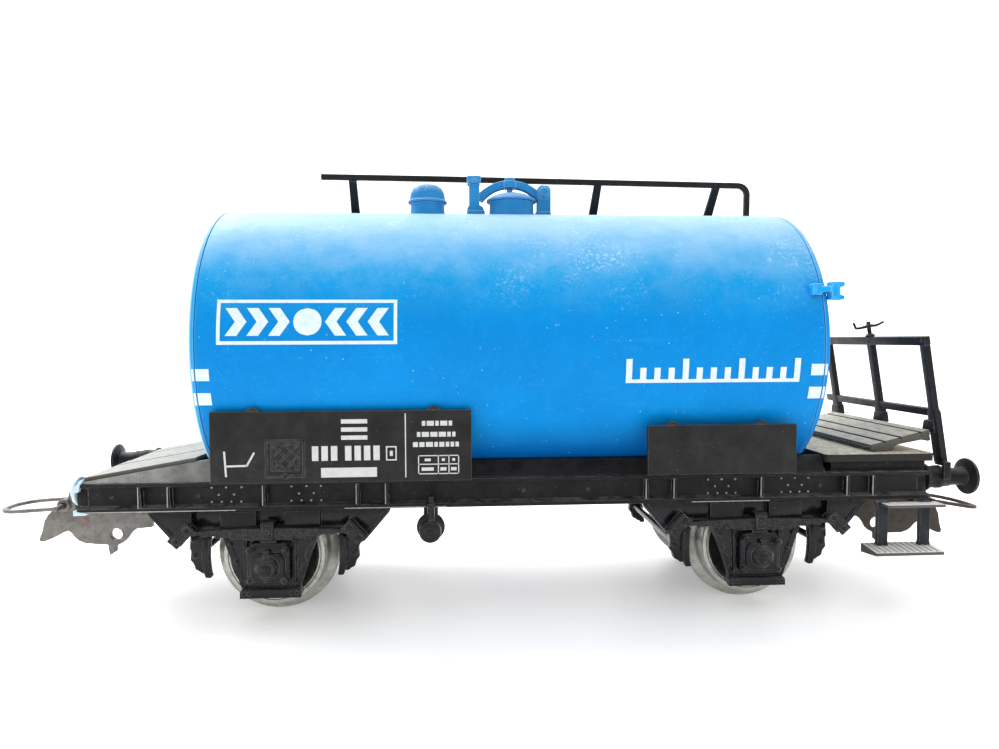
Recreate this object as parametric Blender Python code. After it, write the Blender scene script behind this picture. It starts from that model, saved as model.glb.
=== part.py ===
"""Model tank wagon with two axles, in 1:87 scale.

The wagon stands along X with its brakeman's platform at the +X end. The origin is at the table, under
the middle of the wagon. Shapes are drawn in millimetres and turned into metres when they become objects.
"""

import math

import bmesh
import bpy
from mathutils import Matrix, Vector

MM = 0.001
GAP = 0.06  # clearance between pieces that are seated on each other

# Running gear
WHEELBASE = 51.2
AXLE_Z = 6.5
FLANGE_R = 6.5
TREAD_R = 5.4
WHEEL_BACK_Y = 7.15
WHEEL_FACE_Y = 9.95
WHEEL_SEGMENTS = 28
AXLE_R = 0.75
JOURNAL_R = 0.5
RUNNING_CLEARANCE = 0.08
GUARD_INNER_Y = 10.5
GUARD_OUTER_Y = 11.7

# Underframe
FRAME_END_X = 44.7
SOLE_TOP_Z = 14.6
SOLE_BOTTOM_Z = 11.6
SOLE_WEB_Y = 11.0
SOLE_FLANGE_Y = 11.75
RIB_X = (13.7, 16.7, 26.2, 35.7, 38.6)
FLOOR_TOP_Z = 12.4

# Tank
TANK_R = 15.5
TANK_WALL = 1.0
TANK_Z = 28.2
TANK_LEFT_X = -31.5
TANK_RIGHT_X = 30.9
TANK_SEGMENTS = 56
TANK_TOP_Z = TANK_Z + TANK_R

LADDER_Y = 15.95

# Ends of the frame
RAMP_SLOPE = math.tan(math.radians(9.8))
RAMP_LOW_X = -44.4
RAMP_HIGH_X = -34.6
RAMP_LOW_Z = 15.1
FLOOR_PLATE_X = (33.4, 45.6)
FLOOR_PLATE_Z = (15.6, 16.5)
DECK_HIGH_X = -33.15
PLATFORM_TILT = math.radians(13.2)  # the platform rises away from the tank
PLATFORM_X = (38.9, 45.85)
PLATFORM_Z = 17.3
RAIL_TILT = math.radians(9.5)  # the railing leans towards the tank
RAIL_FOOT_X = 47.15
RAIL_FOOT_Z = 15.0

# Buffers and couplings
BUFFER_FACE_X = 50.8
BUFFER_Y = 10.0
BUFFER_Z = 13.65
BUFFER_HEAD_R = 2.0
COUPLING_PIVOT_X = 40.6
LOOP_PIVOT_X = 51.4
LOOP_PIVOT_Z = 10.2
LOOP_HALF_WIDTH = 3.2
LOOP_REACH = 6.9
LOOP_CORNER = 2.5

# Colours
TANK_BLUE = (0.0, 0.30, 0.72)
PLASTIC_BLACK = (0.03, 0.03, 0.032)
DECK_GREY = (0.50, 0.47, 0.41)
WHEEL_GREY = (0.55, 0.55, 0.52)
STEEL_GREY = (0.33, 0.33, 0.33)


def clear_scene():
    for old in list(bpy.data.objects):
        bpy.data.objects.remove(old, do_unlink=True)


def make_material(name, colour, roughness, metallic=0.0):
    material = bpy.data.materials.new(name)
    material.use_nodes = True
    shader = material.node_tree.nodes["Principled BSDF"]
    shader.inputs["Base Color"].default_value = (*colour, 1.0)
    shader.inputs["Roughness"].default_value = roughness
    shader.inputs["Metallic"].default_value = metallic
    return material


# ---------------------------------------------------------------- shapes, in millimetres


def box(x, y, z, bevel=0.0):
    """A box between the given ends, with its edges bevelled."""
    shape = bmesh.new()
    centre = Vector(((x[0] + x[1]) / 2, (y[0] + y[1]) / 2, (z[0] + z[1]) / 2))
    size = Vector((x[1] - x[0], y[1] - y[0], z[1] - z[0]))
    bmesh.ops.create_cube(shape, size=1.0, matrix=Matrix.Translation(centre) @ Matrix.Diagonal((*size, 1.0)))
    if bevel:
        bmesh.ops.bevel(shape, geom=shape.edges[:], offset=bevel, segments=1, affect="EDGES")
    return shape


def prism(outline, axis, low, high):
    """The outline, a list of the two other coordinates in order, extruded along the axis."""
    shape = bmesh.new()

    def point(pair, along):
        a, b = pair
        return {"X": (along, a, b), "Y": (a, along, b), "Z": (a, b, along)}[axis]

    bottom = [shape.verts.new(point(pair, low)) for pair in outline]
    face = shape.faces.new(bottom)
    grown = bmesh.ops.extrude_face_region(shape, geom=[face])
    step = Vector(point((0, 0), high - low))
    bmesh.ops.translate(shape, vec=step, verts=[v for v in grown["geom"] if isinstance(v, bmesh.types.BMVert)])
    bmesh.ops.recalc_face_normals(shape, faces=shape.faces[:])
    return shape


def turned(profile, centre, direction, segments=24, closed=False):
    """A profile of (radius, distance) pairs turned about an axis through the centre.

    An open profile starts and ends on the axis; a closed one makes a ring.
    """
    shape = bmesh.new()
    rotate = Vector((0, 0, 1)).rotation_difference(Vector(direction)).to_matrix().to_4x4()
    place = Matrix.Translation(centre) @ rotate
    rings = []
    for radius, along in profile:
        if radius == 0:
            rings.append([shape.verts.new(place @ Vector((0, 0, along)))])
            continue
        ring = []
        for step in range(segments):
            angle = 2 * math.pi * step / segments
            ring.append(shape.verts.new(place @ Vector((radius * math.cos(angle), radius * math.sin(angle), along))))
        rings.append(ring)
    pairs = list(zip(rings, rings[1:]))
    if closed:
        pairs.append((rings[-1], rings[0]))
    for lower, upper in pairs:
        for step in range(segments):
            after = (step + 1) % segments
            if len(lower) == 1:
                shape.faces.new((lower[0], upper[step], upper[after]))
            elif len(upper) == 1:
                shape.faces.new((lower[step], upper[0], lower[after]))
            else:
                shape.faces.new((lower[step], upper[step], upper[after], lower[after]))
    bmesh.ops.recalc_face_normals(shape, faces=shape.faces[:])
    return shape


def rod(start, end, radius, segments=12):
    start = Vector(start)
    along = Vector(end) - start
    profile = [(0, 0), (radius, 0), (radius, along.length), (0, along.length)]
    return turned(profile, start, along.normalized(), segments)


def bar(start, end, width, depth, depth_axis=(0, 1, 0)):
    """A straight bar of rectangular section, its depth along depth_axis."""
    start = Vector(start)
    along = Vector(end) - start
    side = Vector(depth_axis).normalized()
    across = along.normalized().cross(side)
    shape = bmesh.new()
    corners = []
    for a, b in ((-1, -1), (1, -1), (1, 1), (-1, 1)):
        corners.append(shape.verts.new(start + across * (a * width / 2) + side * (b * depth / 2)))
    face = shape.faces.new(corners)
    grown = bmesh.ops.extrude_face_region(shape, geom=[face])
    bmesh.ops.translate(shape, vec=along, verts=[v for v in grown["geom"] if isinstance(v, bmesh.types.BMVert)])
    bmesh.ops.recalc_face_normals(shape, faces=shape.faces[:])
    return shape


def arc_points(centre, radius, start_deg, end_deg, steps):
    """Points on an arc in a plane, angles counted from the first axis towards the second."""
    points = []
    for step in range(steps + 1):
        angle = math.radians(start_deg + (end_deg - start_deg) * step / steps)
        points.append((centre[0] + radius * math.cos(angle), centre[1] + radius * math.sin(angle)))
    return points


def moved(shape, matrix):
    """The shape after a transformation; a mirroring one keeps its faces pointing out."""
    bmesh.ops.transform(shape, matrix=matrix, verts=shape.verts[:])
    if matrix.determinant() < 0:
        bmesh.ops.reverse_faces(shape, faces=shape.faces[:])
    return shape


# ---------------------------------------------------------------- objects


def make_object(name, shape, material=None, origin=(0, 0, 0)):
    """An object in metres whose origin is at the given point in millimetres."""
    bmesh.ops.translate(shape, vec=-Vector(origin), verts=shape.verts[:])
    bmesh.ops.scale(shape, vec=(MM, MM, MM), verts=shape.verts[:])
    mesh = bpy.data.meshes.new(name)
    shape.to_mesh(mesh)
    shape.free()
    made = bpy.data.objects.new(name, mesh)
    made.location = Vector(origin) * MM
    bpy.context.scene.collection.objects.link(made)
    if material is not None:
        mesh.materials.append(material)
    return made


def smooth(made, angle_deg=35):
    made.data.shade_smooth()
    made.data.set_sharp_from_angle(angle=math.radians(angle_deg))
    return made


def combined(name, shapes, material, cutters=(), origin=(0, 0, 0)):
    """One body: the union of the shapes, less the cutters."""
    body = make_object(name, shapes[0], material, origin)
    helpers = []
    for kind, group in (("UNION", shapes[1:]), ("DIFFERENCE", cutters)):
        for number, shape in enumerate(group):
            helper = make_object(f"{name}_{kind.lower()}_{number}", shape, None, origin)
            helpers.append(helper)
            modifier = body.modifiers.new(f"{kind.lower()}_{number}", "BOOLEAN")
            modifier.operation = kind
            modifier.solver = "EXACT"
            modifier.object = helper
    if helpers:
        bpy.context.view_layer.update()
        graph = bpy.context.evaluated_depsgraph_get()
        result = bpy.data.meshes.new_from_object(body.evaluated_get(graph))
        body.modifiers.clear()
        body.data = result
        result.name = name
        for helper in helpers:
            bpy.data.objects.remove(helper, do_unlink=True)
    return smooth(body)


def tank_cutter(clearance=GAP, low_x=-60, high_x=60):
    """The tank's outside with a little clearance, to shape what sits on it."""
    profile = [(0, low_x), (TANK_R + clearance, low_x), (TANK_R + clearance, high_x), (0, high_x)]
    return turned(profile, (0, 0, TANK_Z), (1, 0, 0), TANK_SEGMENTS)


# ---------------------------------------------------------------- tank


def build_tank(blue):
    inner_r = TANK_R - TANK_WALL
    barrel = [(TANK_R, TANK_LEFT_X), (TANK_R, TANK_RIGHT_X), (inner_r, TANK_RIGHT_X), (inner_r, TANK_LEFT_X)]
    shell = turned(barrel, (0, 0, TANK_Z), (1, 0, 0), TANK_SEGMENTS, closed=True)
    smooth(make_object("tank_shell", shell, blue))
    for name, seam_x, way in (("tank_end_left", TANK_LEFT_X, -1), ("tank_end_right", TANK_RIGHT_X, 1)):
        spigot_r = inner_r - GAP
        outside = [(0, 2.2), (7.0, 1.9), (12.5, 1.3), (14.6, 0.95), (15.25, 0.75), (TANK_R, 0.45), (TANK_R, GAP)]
        inside = [(spigot_r, GAP), (spigot_r, -2.0), (spigot_r - 1.0, -2.0), (spigot_r - 1.0, 0.2), (0, 1.1)]
        profile = outside + inside
        end = turned(profile, (seam_x, 0, TANK_Z), (way, 0, 0), TANK_SEGMENTS)
        smooth(make_object(name, end, blue))


def build_tank_top(blue):
    dome_x = -9.6
    dome = [(0, 42.4), (2.0, 42.4), (2.0, 44.95), (2.25, 45.05), (2.25, 45.3), (2.05, 45.4)]
    dome += [(1.95, 46.1), (1.55, 46.75), (0.85, 47.15), (0, 47.25)]
    shape = turned(dome, (dome_x, 0, 0), (0, 0, 1), 20)
    combined("valve_dome", [shape], blue, [tank_cutter()])

    lid_x = 0.3
    lid = [(0, 42.4), (2.65, 42.4), (2.65, 45.2), (2.95, 45.3), (2.95, 45.55), (2.5, 45.9), (1.5, 46.2)]
    lid += [(0.9, 46.32), (0, 46.34)]
    shape = turned(lid, (lid_x, 0, 0), (0, 0, 1), 24)
    combined("manhole_lid", [shape], blue, [tank_cutter()])

    # The yoke over the lid: a forked post on the left, a hinge block on the right and a bow between them.
    post = box((-4.75, -3.55), (-0.7, 0.7), (42.6, 47.6), 0.1)
    fork = box((-5.0, -3.3), (-0.9, 0.9), (47.4, 48.2), 0.2)
    foot = box((-5.0, -2.95), (-1.2, 1.2), (42.6, 44.75), 0.15)
    block = box((3.4, 4.9), (-0.9, 0.9), (42.6, 47.2), 0.25)
    bolt = rod((4.1, -1.35, 46.4), (4.1, 1.35, 46.4), 0.55, 12)
    bow_centre = (0.15, 42.75)
    bow = arc_points(bow_centre, 5.0, 38, 142, 14) + arc_points(bow_centre, 4.2, 142, 38, 14)
    bow = prism(bow, "Y", -0.5, 0.5)
    boss = rod((lid_x - 0.2, 0, 46.85), (lid_x - 0.2, 0, 47.75), 0.75, 16)
    bore = rod((lid_x - 0.2, 0, 46.0), (lid_x - 0.2, 0, 49.0), 0.42, 16)
    combined("manhole_yoke", [post, fork, foot, block, bolt, bow, boss], blue, [bore, tank_cutter()])

    screw = [(0, 46.42), (0.34, 46.42), (0.34, 47.8), (0.62, 47.8), (0.62, 48.05), (0.4, 48.15), (0, 48.15)]
    smooth(make_object("manhole_screw", turned(screw, (lid_x - 0.2, 0, 0), (0, 0, 1), 16), blue))

    # A small lamp bracket on the near side of the tank's right end.
    arm = rod((29.8, -14.75, 34.0), (32.0, -14.75, 33.9), 0.45, 10)
    hook = box((31.6, 33.0), (-15.3, -14.2), (32.9, 34.75), 0.2)
    pad = box((29.6, 30.6), (-15.2, -13.9), (33.3, 34.7), 0.1)
    combined("lamp_bracket", [arm, hook, pad], blue, [tank_cutter()])


def build_top_walkway(black):
    """The walkway and its railing on the far side of the tank, with a ladder below."""
    plank = box((-24.0, 31.5), (7.6, 12.2), (43.2, 43.8))
    shapes = [plank]
    for x in (-19.5, 3.0, 27.0):
        web = [(7.7, 43.4), (12.0, 43.4), (12.6, 36.5), (8.6, 40.0)]
        shapes.append(prism(web, "X", x - 0.5, x + 0.5))
    slots = []
    for index in range(3):
        y = 8.7 + index * 1.15
        slots.append(box((-23.2, 30.7), (y, y + 0.35), (43.62, 44.2)))
    combined("top_walkway", shapes, black, [tank_cutter()] + slots)

    rail_y = 6.0
    rail_z = 49.05
    drop = 0.6  # the bar falls this much towards the right end
    left = (-23.0, rail_y, rail_z + drop / 2)
    right = (30.6, rail_y, rail_z - drop / 2)
    shapes = [bar(left, right, 0.75, 0.7)]
    corner = Vector(right)
    shapes.append(bar(corner + Vector((-0.25, 0, 0.1)), corner + Vector((0.85, 0, -0.8)), 0.75, 0.7))
    shapes.append(bar(corner + Vector((0.75, 0, -0.55)), (31.2, rail_y, 43.9), 0.75, 0.7))
    shapes.append(box((30.8, 31.6), (rail_y - 0.35, 10.6), (43.86, 44.5)))
    for x in (-19.1, 11.9, 27.4):
        top = Vector((x, rail_y, rail_z - 0.05))
        foot = Vector((x, 10.4, 44.1))
        shapes.append(bar(top, foot, 1.05, 0.6, (0, 0.76, 0.65)))
        shapes.append(box((x - 0.75, x + 0.75), (9.6, 11.2), (43.86, 44.35)))
    combined("top_railing", shapes, black)

    ladder_x = -4.0
    shapes = []
    for side in (-1.9, 1.9):
        x = ladder_x + side
        shapes.append(bar((x, 12.55, 44.6), (x, LADDER_Y, 30.0), 0.6, 0.6, (1, 0, 0)))
        shapes.append(bar((x, LADDER_Y, 30.4), (x, LADDER_Y, 17.0), 0.6, 0.6, (1, 0, 0)))
    for step in range(10):
        z = 18.0 + step * 2.6
        y = LADDER_Y if z < 30.2 else LADDER_Y - (z - 30.2) * (LADDER_Y - 12.55) / 14.4
        shapes.append(rod((ladder_x - 2.0, y, z), (ladder_x + 2.0, y, z), 0.24, 6))
    shapes.append(bar((ladder_x - 1.9, LADDER_Y, 17.3), (ladder_x - 1.9, 11.9, 14.4), 0.6, 0.6, (1, 0, 0)))
    shapes.append(bar((ladder_x + 1.9, LADDER_Y, 17.3), (ladder_x + 1.9, 11.9, 14.4), 0.6, 0.6, (1, 0, 0)))
    combined("ladder", shapes, black)


# ---------------------------------------------------------------- underframe


def build_underframe(black):
    floor = box((-44.2, 44.2), (-10.7, 10.7), (11.75, FLOOR_TOP_Z))
    shapes = [floor]
    for side in (-1, 1):
        section = [(10.4, SOLE_BOTTOM_Z), (SOLE_FLANGE_Y, SOLE_BOTTOM_Z), (SOLE_FLANGE_Y, 12.05)]
        section += [(SOLE_WEB_Y, 12.15), (SOLE_WEB_Y, 14.1), (SOLE_FLANGE_Y, 14.2), (SOLE_FLANGE_Y, SOLE_TOP_Z)]
        section += [(10.4, SOLE_TOP_Z)]
        section = [(side * y, z) for y, z in section]
        shapes.append(prism(section, "X", -FRAME_END_X, FRAME_END_X))
        for x in RIB_X:
            for end in (-x, x):
                shapes.append(box((end - 0.2, end + 0.2), sorted((side * 10.8, side * 11.62)), (11.9, 14.4)))
    for end in (-1, 1):
        x = sorted((end * 43.8, end * 44.95))
        shapes.append(box(x, (-11.45, 11.45), (11.35, 14.56)))
    for end in (-1, 1):
        shapes.append(rod((end * COUPLING_PIVOT_X, 0, 11.0), (end * COUPLING_PIVOT_X, 0, 12.0), 2.2, 20))
    cutters = []
    for end in (-1, 1):
        cutters.append(rod((end * COUPLING_PIVOT_X, 0, 10.0), (end * COUPLING_PIVOT_X, 0, 13.0), 0.62, 16))
        cutters.append(rod((end * 12.0, 0, 10.0), (end * 12.0, 0, 13.0), 1.0, 16))
    cutters.append(box((-5, 5), (-5.0, 5.0), (11.0, 13.0)))
    for x in (-WHEELBASE / 2, WHEELBASE / 2):
        for side in (-1, 1):
            cutters.append(box((x - 7.0, x + 7.0), sorted((side * 6.7, side * 10.3)), (11.0, 13.0)))
    combined("underframe", shapes, black, cutters)


def build_cradle(black):
    """The saddle that carries the tank, with flanks that lean in above the sole bars."""
    shapes = []
    low_z = SOLE_TOP_Z + GAP
    for side in (-1, 1):
        section = [(11.55, low_z), (10.15, 16.6), (7.0, 16.6), (7.0, low_z)]
        section = [(side * y, z) for y, z in section]
        shapes.append(prism(section, "X", RAMP_HIGH_X + 0.1, 33.2))
    seat_z = (FLOOR_TOP_Z + GAP, 14.85)
    shapes.append(box((-36.0, -34.0), (-10.2, 10.2), seat_z))
    shapes.append(box((32.95, 34.1), (-10.2, 10.2), seat_z))
    screw_bores = []
    for x in (-12.0, 12.0):
        shapes.append(box((x - 2.0, x + 2.0), (-10.2, 10.2), (FLOOR_TOP_Z + GAP, 15.6)))
        screw_bores.append(rod((x, 0, 11.0), (x, 0, 17.0), 1.0, 16))
    deck_clear = box((-35.0, DECK_HIGH_X + GAP), (-12, 12), (16.32, 17.0))
    cutters = [tank_cutter(0.1, -33.95, 32.9), deck_clear] + screw_bores
    combined("cradle", shapes, black, cutters)


def ramp_z(x):
    return RAMP_LOW_Z + (x - RAMP_LOW_X) * RAMP_SLOPE


def build_left_deck(black, deck):
    """The ramp at the left end rises towards the tank; its planks run along the wagon."""
    thickness = 0.4
    outline = [(RAMP_LOW_X, SOLE_TOP_Z + 0.3), (RAMP_HIGH_X, SOLE_TOP_Z + 0.3)]
    outline += [(RAMP_HIGH_X, ramp_z(RAMP_HIGH_X) - thickness - GAP), (RAMP_LOW_X, ramp_z(RAMP_LOW_X) - thickness + 0.3)]
    body = prism(outline, "Y", -11.5, 11.5)
    cutters = []
    for side in (-1, 1):
        flank = [(side * 11.55, 14.0), (side * 10.9, 18.0), (side * 13.0, 18.0), (side * 13.0, 14.0)]
        cutters.append(prism(flank, "X", -50.0, -30.0))
    low = RAMP_LOW_X - 0.3
    top = [(low, ramp_z(low)), (DECK_HIGH_X, ramp_z(DECK_HIGH_X))]
    planks = top + [(DECK_HIGH_X, ramp_z(DECK_HIGH_X) - thickness), (low, ramp_z(low) - thickness)]
    under = [(low - 1, ramp_z(low - 1) - thickness - GAP), (RAMP_HIGH_X + 1, ramp_z(RAMP_HIGH_X + 1) - thickness - GAP)]
    under += [(RAMP_HIGH_X + 1, 20.0), (low - 1, 20.0)]
    combined("left_ramp", [body], black, cutters + [prism(under, "Y", -15, 15)])
    grooves = []
    for index in range(-3, 4):
        y = index * 3.0
        groove = [(low - 1, ramp_z(low - 1) - 0.2), (DECK_HIGH_X + 1, ramp_z(DECK_HIGH_X + 1) - 0.2)]
        groove += [(DECK_HIGH_X + 1, 20.0), (low - 1, 20.0)]
        grooves.append(prism(groove, "Y", y - 0.09, y + 0.09))
    combined("left_deck", [prism(planks, "Y", -10.95, 10.95)], deck, grooves)


def build_right_floor(black):
    plate = box(FLOOR_PLATE_X, (-11.3, 11.3), FLOOR_PLATE_Z, 0.08)
    support = box((34.2, 44.8), (-10.9, 10.9), (SOLE_TOP_Z + GAP, FLOOR_PLATE_Z[0] + 0.3))
    combined("right_floor", [plate, support], black)


def tilted(x, z, angle):
    """A matrix that turns a unit towards the tank about a line across the wagon at x, z."""
    return Matrix.Translation((x, 0, z)) @ Matrix.Rotation(-angle, 4, "Y")


def build_platform(deck):
    """The brakeman's platform: planks across the wagon on two end bearers."""
    length = (PLATFORM_X[1] - PLATFORM_X[0]) / math.cos(PLATFORM_TILT)
    place = tilted(PLATFORM_X[0], PLATFORM_Z, PLATFORM_TILT)
    plate = moved(box((0, length), (-10.2, 10.2), (-0.6, 0), 0.04), place)
    shapes = [plate]
    for side in (-1, 1):
        bearer = [(0.05, -0.3), (length - 0.1, -0.3), (length - 0.1, -1.3), (length - 1.2, -1.0), (3.2, -0.8)]
        bearer += [(2.4, -1.45), (0.3, -0.95)]
        y = sorted((side * 9.3, side * 10.1))
        shapes.append(moved(prism(bearer, "Y", *y), place))
    cutters = []
    for edge in (1.72, 3.6, 5.95):
        cutters.append(moved(box((edge - 0.1, edge + 0.1), (-11, 11), (-0.25, 0.5)), place))
    floor_clear = box((30, 50), (-12, 12), (10, FLOOR_PLATE_Z[1] + GAP))
    combined("brakeman_platform", shapes, deck, cutters + [floor_clear])


def build_end_railing(black):
    """The railing stands on the buffer housings and leans with the platform."""
    place = tilted(RAIL_FOOT_X, RAIL_FOOT_Z, RAIL_TILT)
    thick = (-0.4, 0.4)
    shapes = [box(thick, (-10.75, 10.95), (13.4, 14.4))]
    shapes.append(box((-0.38, 0.38), (-10.75, 12.3), (5.45, 6.35)))
    for y, foot in ((-10.25, 0.0), (0.0, 2.6), (10.1, 0.0)):
        shapes.append(box((-0.39, 0.39), (y - 0.5, y + 0.5), (foot, 14.0)))
        shapes.append(box((-0.41, 0.41), (y - 0.75, y + 0.75), (foot, 5.9)))
    for y in (-9.6, 0.0, 10.1):
        gusset = [(y - 0.7, 4.7), (y + 0.7, 4.7), (y + 1.3, 3.75), (y - 0.7, 3.75)]
        shapes.append(prism(gusset, "X", -0.43, 0.43))
    shapes = [moved(shape, place) for shape in shapes]
    # Beside each buffer the post goes on down outside the shank.
    for side in (-1, 1):
        shapes.append(box((46.8, 47.15), sorted((side * 10.2, side * 11.8)), (15.1, 15.55)))
        shapes.append(box((46.3, 47.2), sorted((side * 11.4, side * 11.85)), (13.6, 15.6)))
    combined("end_railing", shapes, black)


def build_brake_spindle(black):
    """The spindle stands on the railing, with its crank above."""
    place = tilted(RAIL_FOOT_X, RAIL_FOOT_Z, RAIL_TILT)
    base = 14.4 + GAP
    spindle = rod((0, 0, base), (0, 0, 16.3), 0.3, 10)
    collar = rod((0, 0, base), (0, 0, base + 0.35), 0.5, 12)
    crank = box((-1.75, 1.6), (-0.22, 0.22), (15.55, 15.95))
    handle = bar((-1.6, 0, 15.7), (-1.9, 0, 16.5), 0.36, 0.4)
    tail = bar((1.3, 0, 15.75), (1.95, 0, 15.95), 0.36, 0.4)
    shapes = [moved(shape, place) for shape in (spindle, collar, crank, handle, tail)]
    combined("brake_spindle", shapes, black)


# ---------------------------------------------------------------- running gear


def build_wheelset(name, x, wheel_grey, steel):
    centre = (x, 0, AXLE_Z)
    bore_r = AXLE_R + GAP
    for side_name, way in (("near", -1), ("far", 1)):
        profile = [(bore_r, 6.9), (1.7, 6.9), (1.7, WHEEL_BACK_Y), (6.3, WHEEL_BACK_Y), (FLANGE_R, 7.45)]
        profile += [(6.3, 7.85), (TREAD_R, 8.2), (5.3, WHEEL_FACE_Y), (4.7, WHEEL_FACE_Y), (4.45, 9.2)]
        profile += [(1.75, 9.2), (1.55, 10.0), (bore_r, 10.0)]
        wheel = turned(profile, centre, (0, way, 0), WHEEL_SEGMENTS, closed=True)
        smooth(make_object(f"wheel_{name}_{side_name}", wheel, wheel_grey, centre))
    tip = 11.85
    axle = [(0, -tip), (0.12, -tip), (JOURNAL_R, -11.2), (JOURNAL_R, -10.25), (AXLE_R, -10.2)]
    axle += [(radius, -along) for radius, along in reversed(axle)]
    smooth(make_object(f"axle_{name}", turned(axle, centre, (0, 1, 0), 16), steel, centre))


def build_axle_guard(name, x, side, black):
    """A guard plate with its axle box and the apron above; the journal turns in the box's bore."""
    near = sorted((side * GUARD_INNER_Y, side * GUARD_OUTER_Y))
    top_z = SOLE_BOTTOM_Z - GAP
    plate = [(5.1, top_z), (5.1, 9.6), (3.0, 3.6), (3.15, 2.55), (-3.15, 2.55), (-3.0, 3.6), (-5.1, 9.6)]
    plate = [(x + dx, z) for dx, z in plate + [(-5.1, top_z), (-1.4, top_z), (-1.4, 9.9), (1.4, 9.9), (1.4, top_z)]]
    shapes = [prism(plate, "Y", *near)]
    shapes.append(box((x - 7.8, x + 7.8), sorted((side * GUARD_INNER_Y, side * 10.95)), (9.1, top_z)))
    shapes.append(box((x - 2.95, x + 2.95), sorted((side * 11.4, side * 12.15)), (2.7, 3.55), 0.08))
    shapes.append(box((x - 2.25, x + 2.25), sorted((side * 11.5, side * 13.0)), (4.2, 8.55), 0.2))
    shapes.append(box((x - 1.75, x + 1.75), sorted((side * 12.8, side * 13.75)), (4.7, 7.9), 0.35))
    shapes.append(rod((x, side * 13.5, AXLE_Z - 0.3), (x, side * 14.1, AXLE_Z - 0.3), 0.95, 12))
    for dx, dz in ((-1.75, 1.45), (1.75, 1.15)):
        shapes.append(rod((x + dx, side * 12.9, AXLE_Z + dz), (x + dx, side * 13.6, AXLE_Z + dz), 0.4, 6))
    bore = rod((x, side * 10.0, AXLE_Z), (x, side * 12.05, AXLE_Z), JOURNAL_R + RUNNING_CLEARANCE, 16)
    combined(name, shapes, black, [bore])


def build_leaf_spring(name, x, side, black):
    """Stacked leaves with a buckle, hung on slanting shackles from two brackets under the sole bar."""
    top_z = SOLE_BOTTOM_Z - GAP
    spring_y = sorted((side * 11.85, side * 12.75))
    steps = [(8.6, 9.5), (6.9, 9.5), (6.9, 9.3), (5.2, 9.3), (5.2, 9.1), (3.4, 9.1), (3.4, 8.9), (1.2, 8.85)]
    outline = [(x + dx, z) for dx, z in steps] + [(x - dx, z) for dx, z in reversed(steps)]
    outline += [(x - 8.6, 9.85), (x - 4.3, 9.98), (x, 10.05), (x + 4.3, 9.98), (x + 8.6, 9.85)]
    shapes = [prism(outline, "Y", *spring_y)]
    shapes.append(box((x - 0.65, x + 0.65), sorted((side * 11.8, side * 13.05)), (8.75, 10.75), 0.1))
    for way in (-1, 1):
        bracket = [(7.9, top_z), (12.3, top_z), (9.5, 8.15), (8.2, 9.0), (7.9, 9.6)]
        bracket = [(x + way * dx, z) for dx, z in bracket]
        shapes.append(prism(bracket, "Y", *sorted((side * 10.6, side * 11.6))))
        high = Vector((x + way * 7.75, side * 11.95, 10.25))
        low = Vector((x + way * 9.45, side * 11.95, 8.45))
        shapes.append(bar(high, low, 1.35, 1.5))
        pin = low.lerp(high, 0.28)
        shapes.append(rod(pin, pin + Vector((0, side * 1.0, 0)), 0.36, 8))
        pin = low.lerp(high, 0.8)
        shapes.append(rod(pin, pin + Vector((0, side * 1.0, 0)), 0.36, 8))
    combined(name, shapes, black)


def build_brake_beam(name, axle_x, way, black):
    """A brake shoe at each side of the wagon, joined by a beam under the floor."""
    shapes = []
    for side in (-1, 1):
        shoe = [(6.55, 8.4), (6.68, 7.4), (6.73, 6.4), (6.66, 5.3), (6.5, 4.25)]
        shoe += [(7.2, 4.15), (7.5, 5.3), (7.58, 6.4), (7.5, 7.4), (7.3, 8.4), (6.9, 8.6)]
        shoe = [(axle_x + way * dx, z) for dx, z in shoe]
        shapes.append(prism(shoe, "Y", *sorted((side * 9.2, side * 10.1))))
        holder = [(7.0, 8.3), (7.6, 9.0), (8.85, 8.9), (8.9, 6.0), (8.45, 5.6), (8.1, 4.9), (7.0, 4.5)]
        holder = [(axle_x + way * dx, z) for dx, z in holder]
        shapes.append(prism(holder, "Y", *sorted((side * 8.6, side * 9.8))))
        x = axle_x + way * 7.75
        hanger = bar((x - way * 0.1, side * 9.2, 7.5), (x - way * 0.5, side * 9.2, 11.55), 0.8, 0.7)
        shapes.append(hanger)
    beam_x = axle_x + way * 8.0
    shapes.append(rod((beam_x, -9.3, 6.6), (beam_x, 9.3, 6.6), 0.42, 10))
    combined(name, shapes, black)


# ---------------------------------------------------------------- fittings on the frame


def build_board(name, x, z, side, lugs, black):
    """A side board on arms from the cradle, with round lugs along its top edge."""
    face = side * 15.0
    back = side * 14.5
    shapes = [box(x, sorted((back, face)), z, 0.05)]
    for lug_x in lugs:
        lug = rod((lug_x, back + side * 0.05, z[1] - 0.35), (lug_x, face - side * 0.08, z[1] - 0.35), 0.75, 16)
        shapes.append(lug)
        arm_z = 15.75
        shapes.append(box((lug_x - 0.6, lug_x + 0.6), sorted((side * 11.3, side * 14.7)), (arm_z - 0.35, arm_z + 0.35)))
    combined(name, shapes, black)


def build_boards(black):
    """The large board is at the left of each side as it is looked at, the small one at the right."""
    for side_name, side in (("near", -1), ("far", 1)):
        for kind, x, z, lugs in (
            ("large", (-30.4, -4.95), (15.05, 22.1), (-26.3, -8.7)),
            ("small", (12.85, 28.3), (15.25, 20.3), (15.4, 24.7)),
        ):
            turn = -side
            span = sorted((x[0] * turn, x[1] * turn))
            build_board(f"board_{kind}_{side_name}", span, z, side, [lug * turn for lug in lugs], black)


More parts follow.
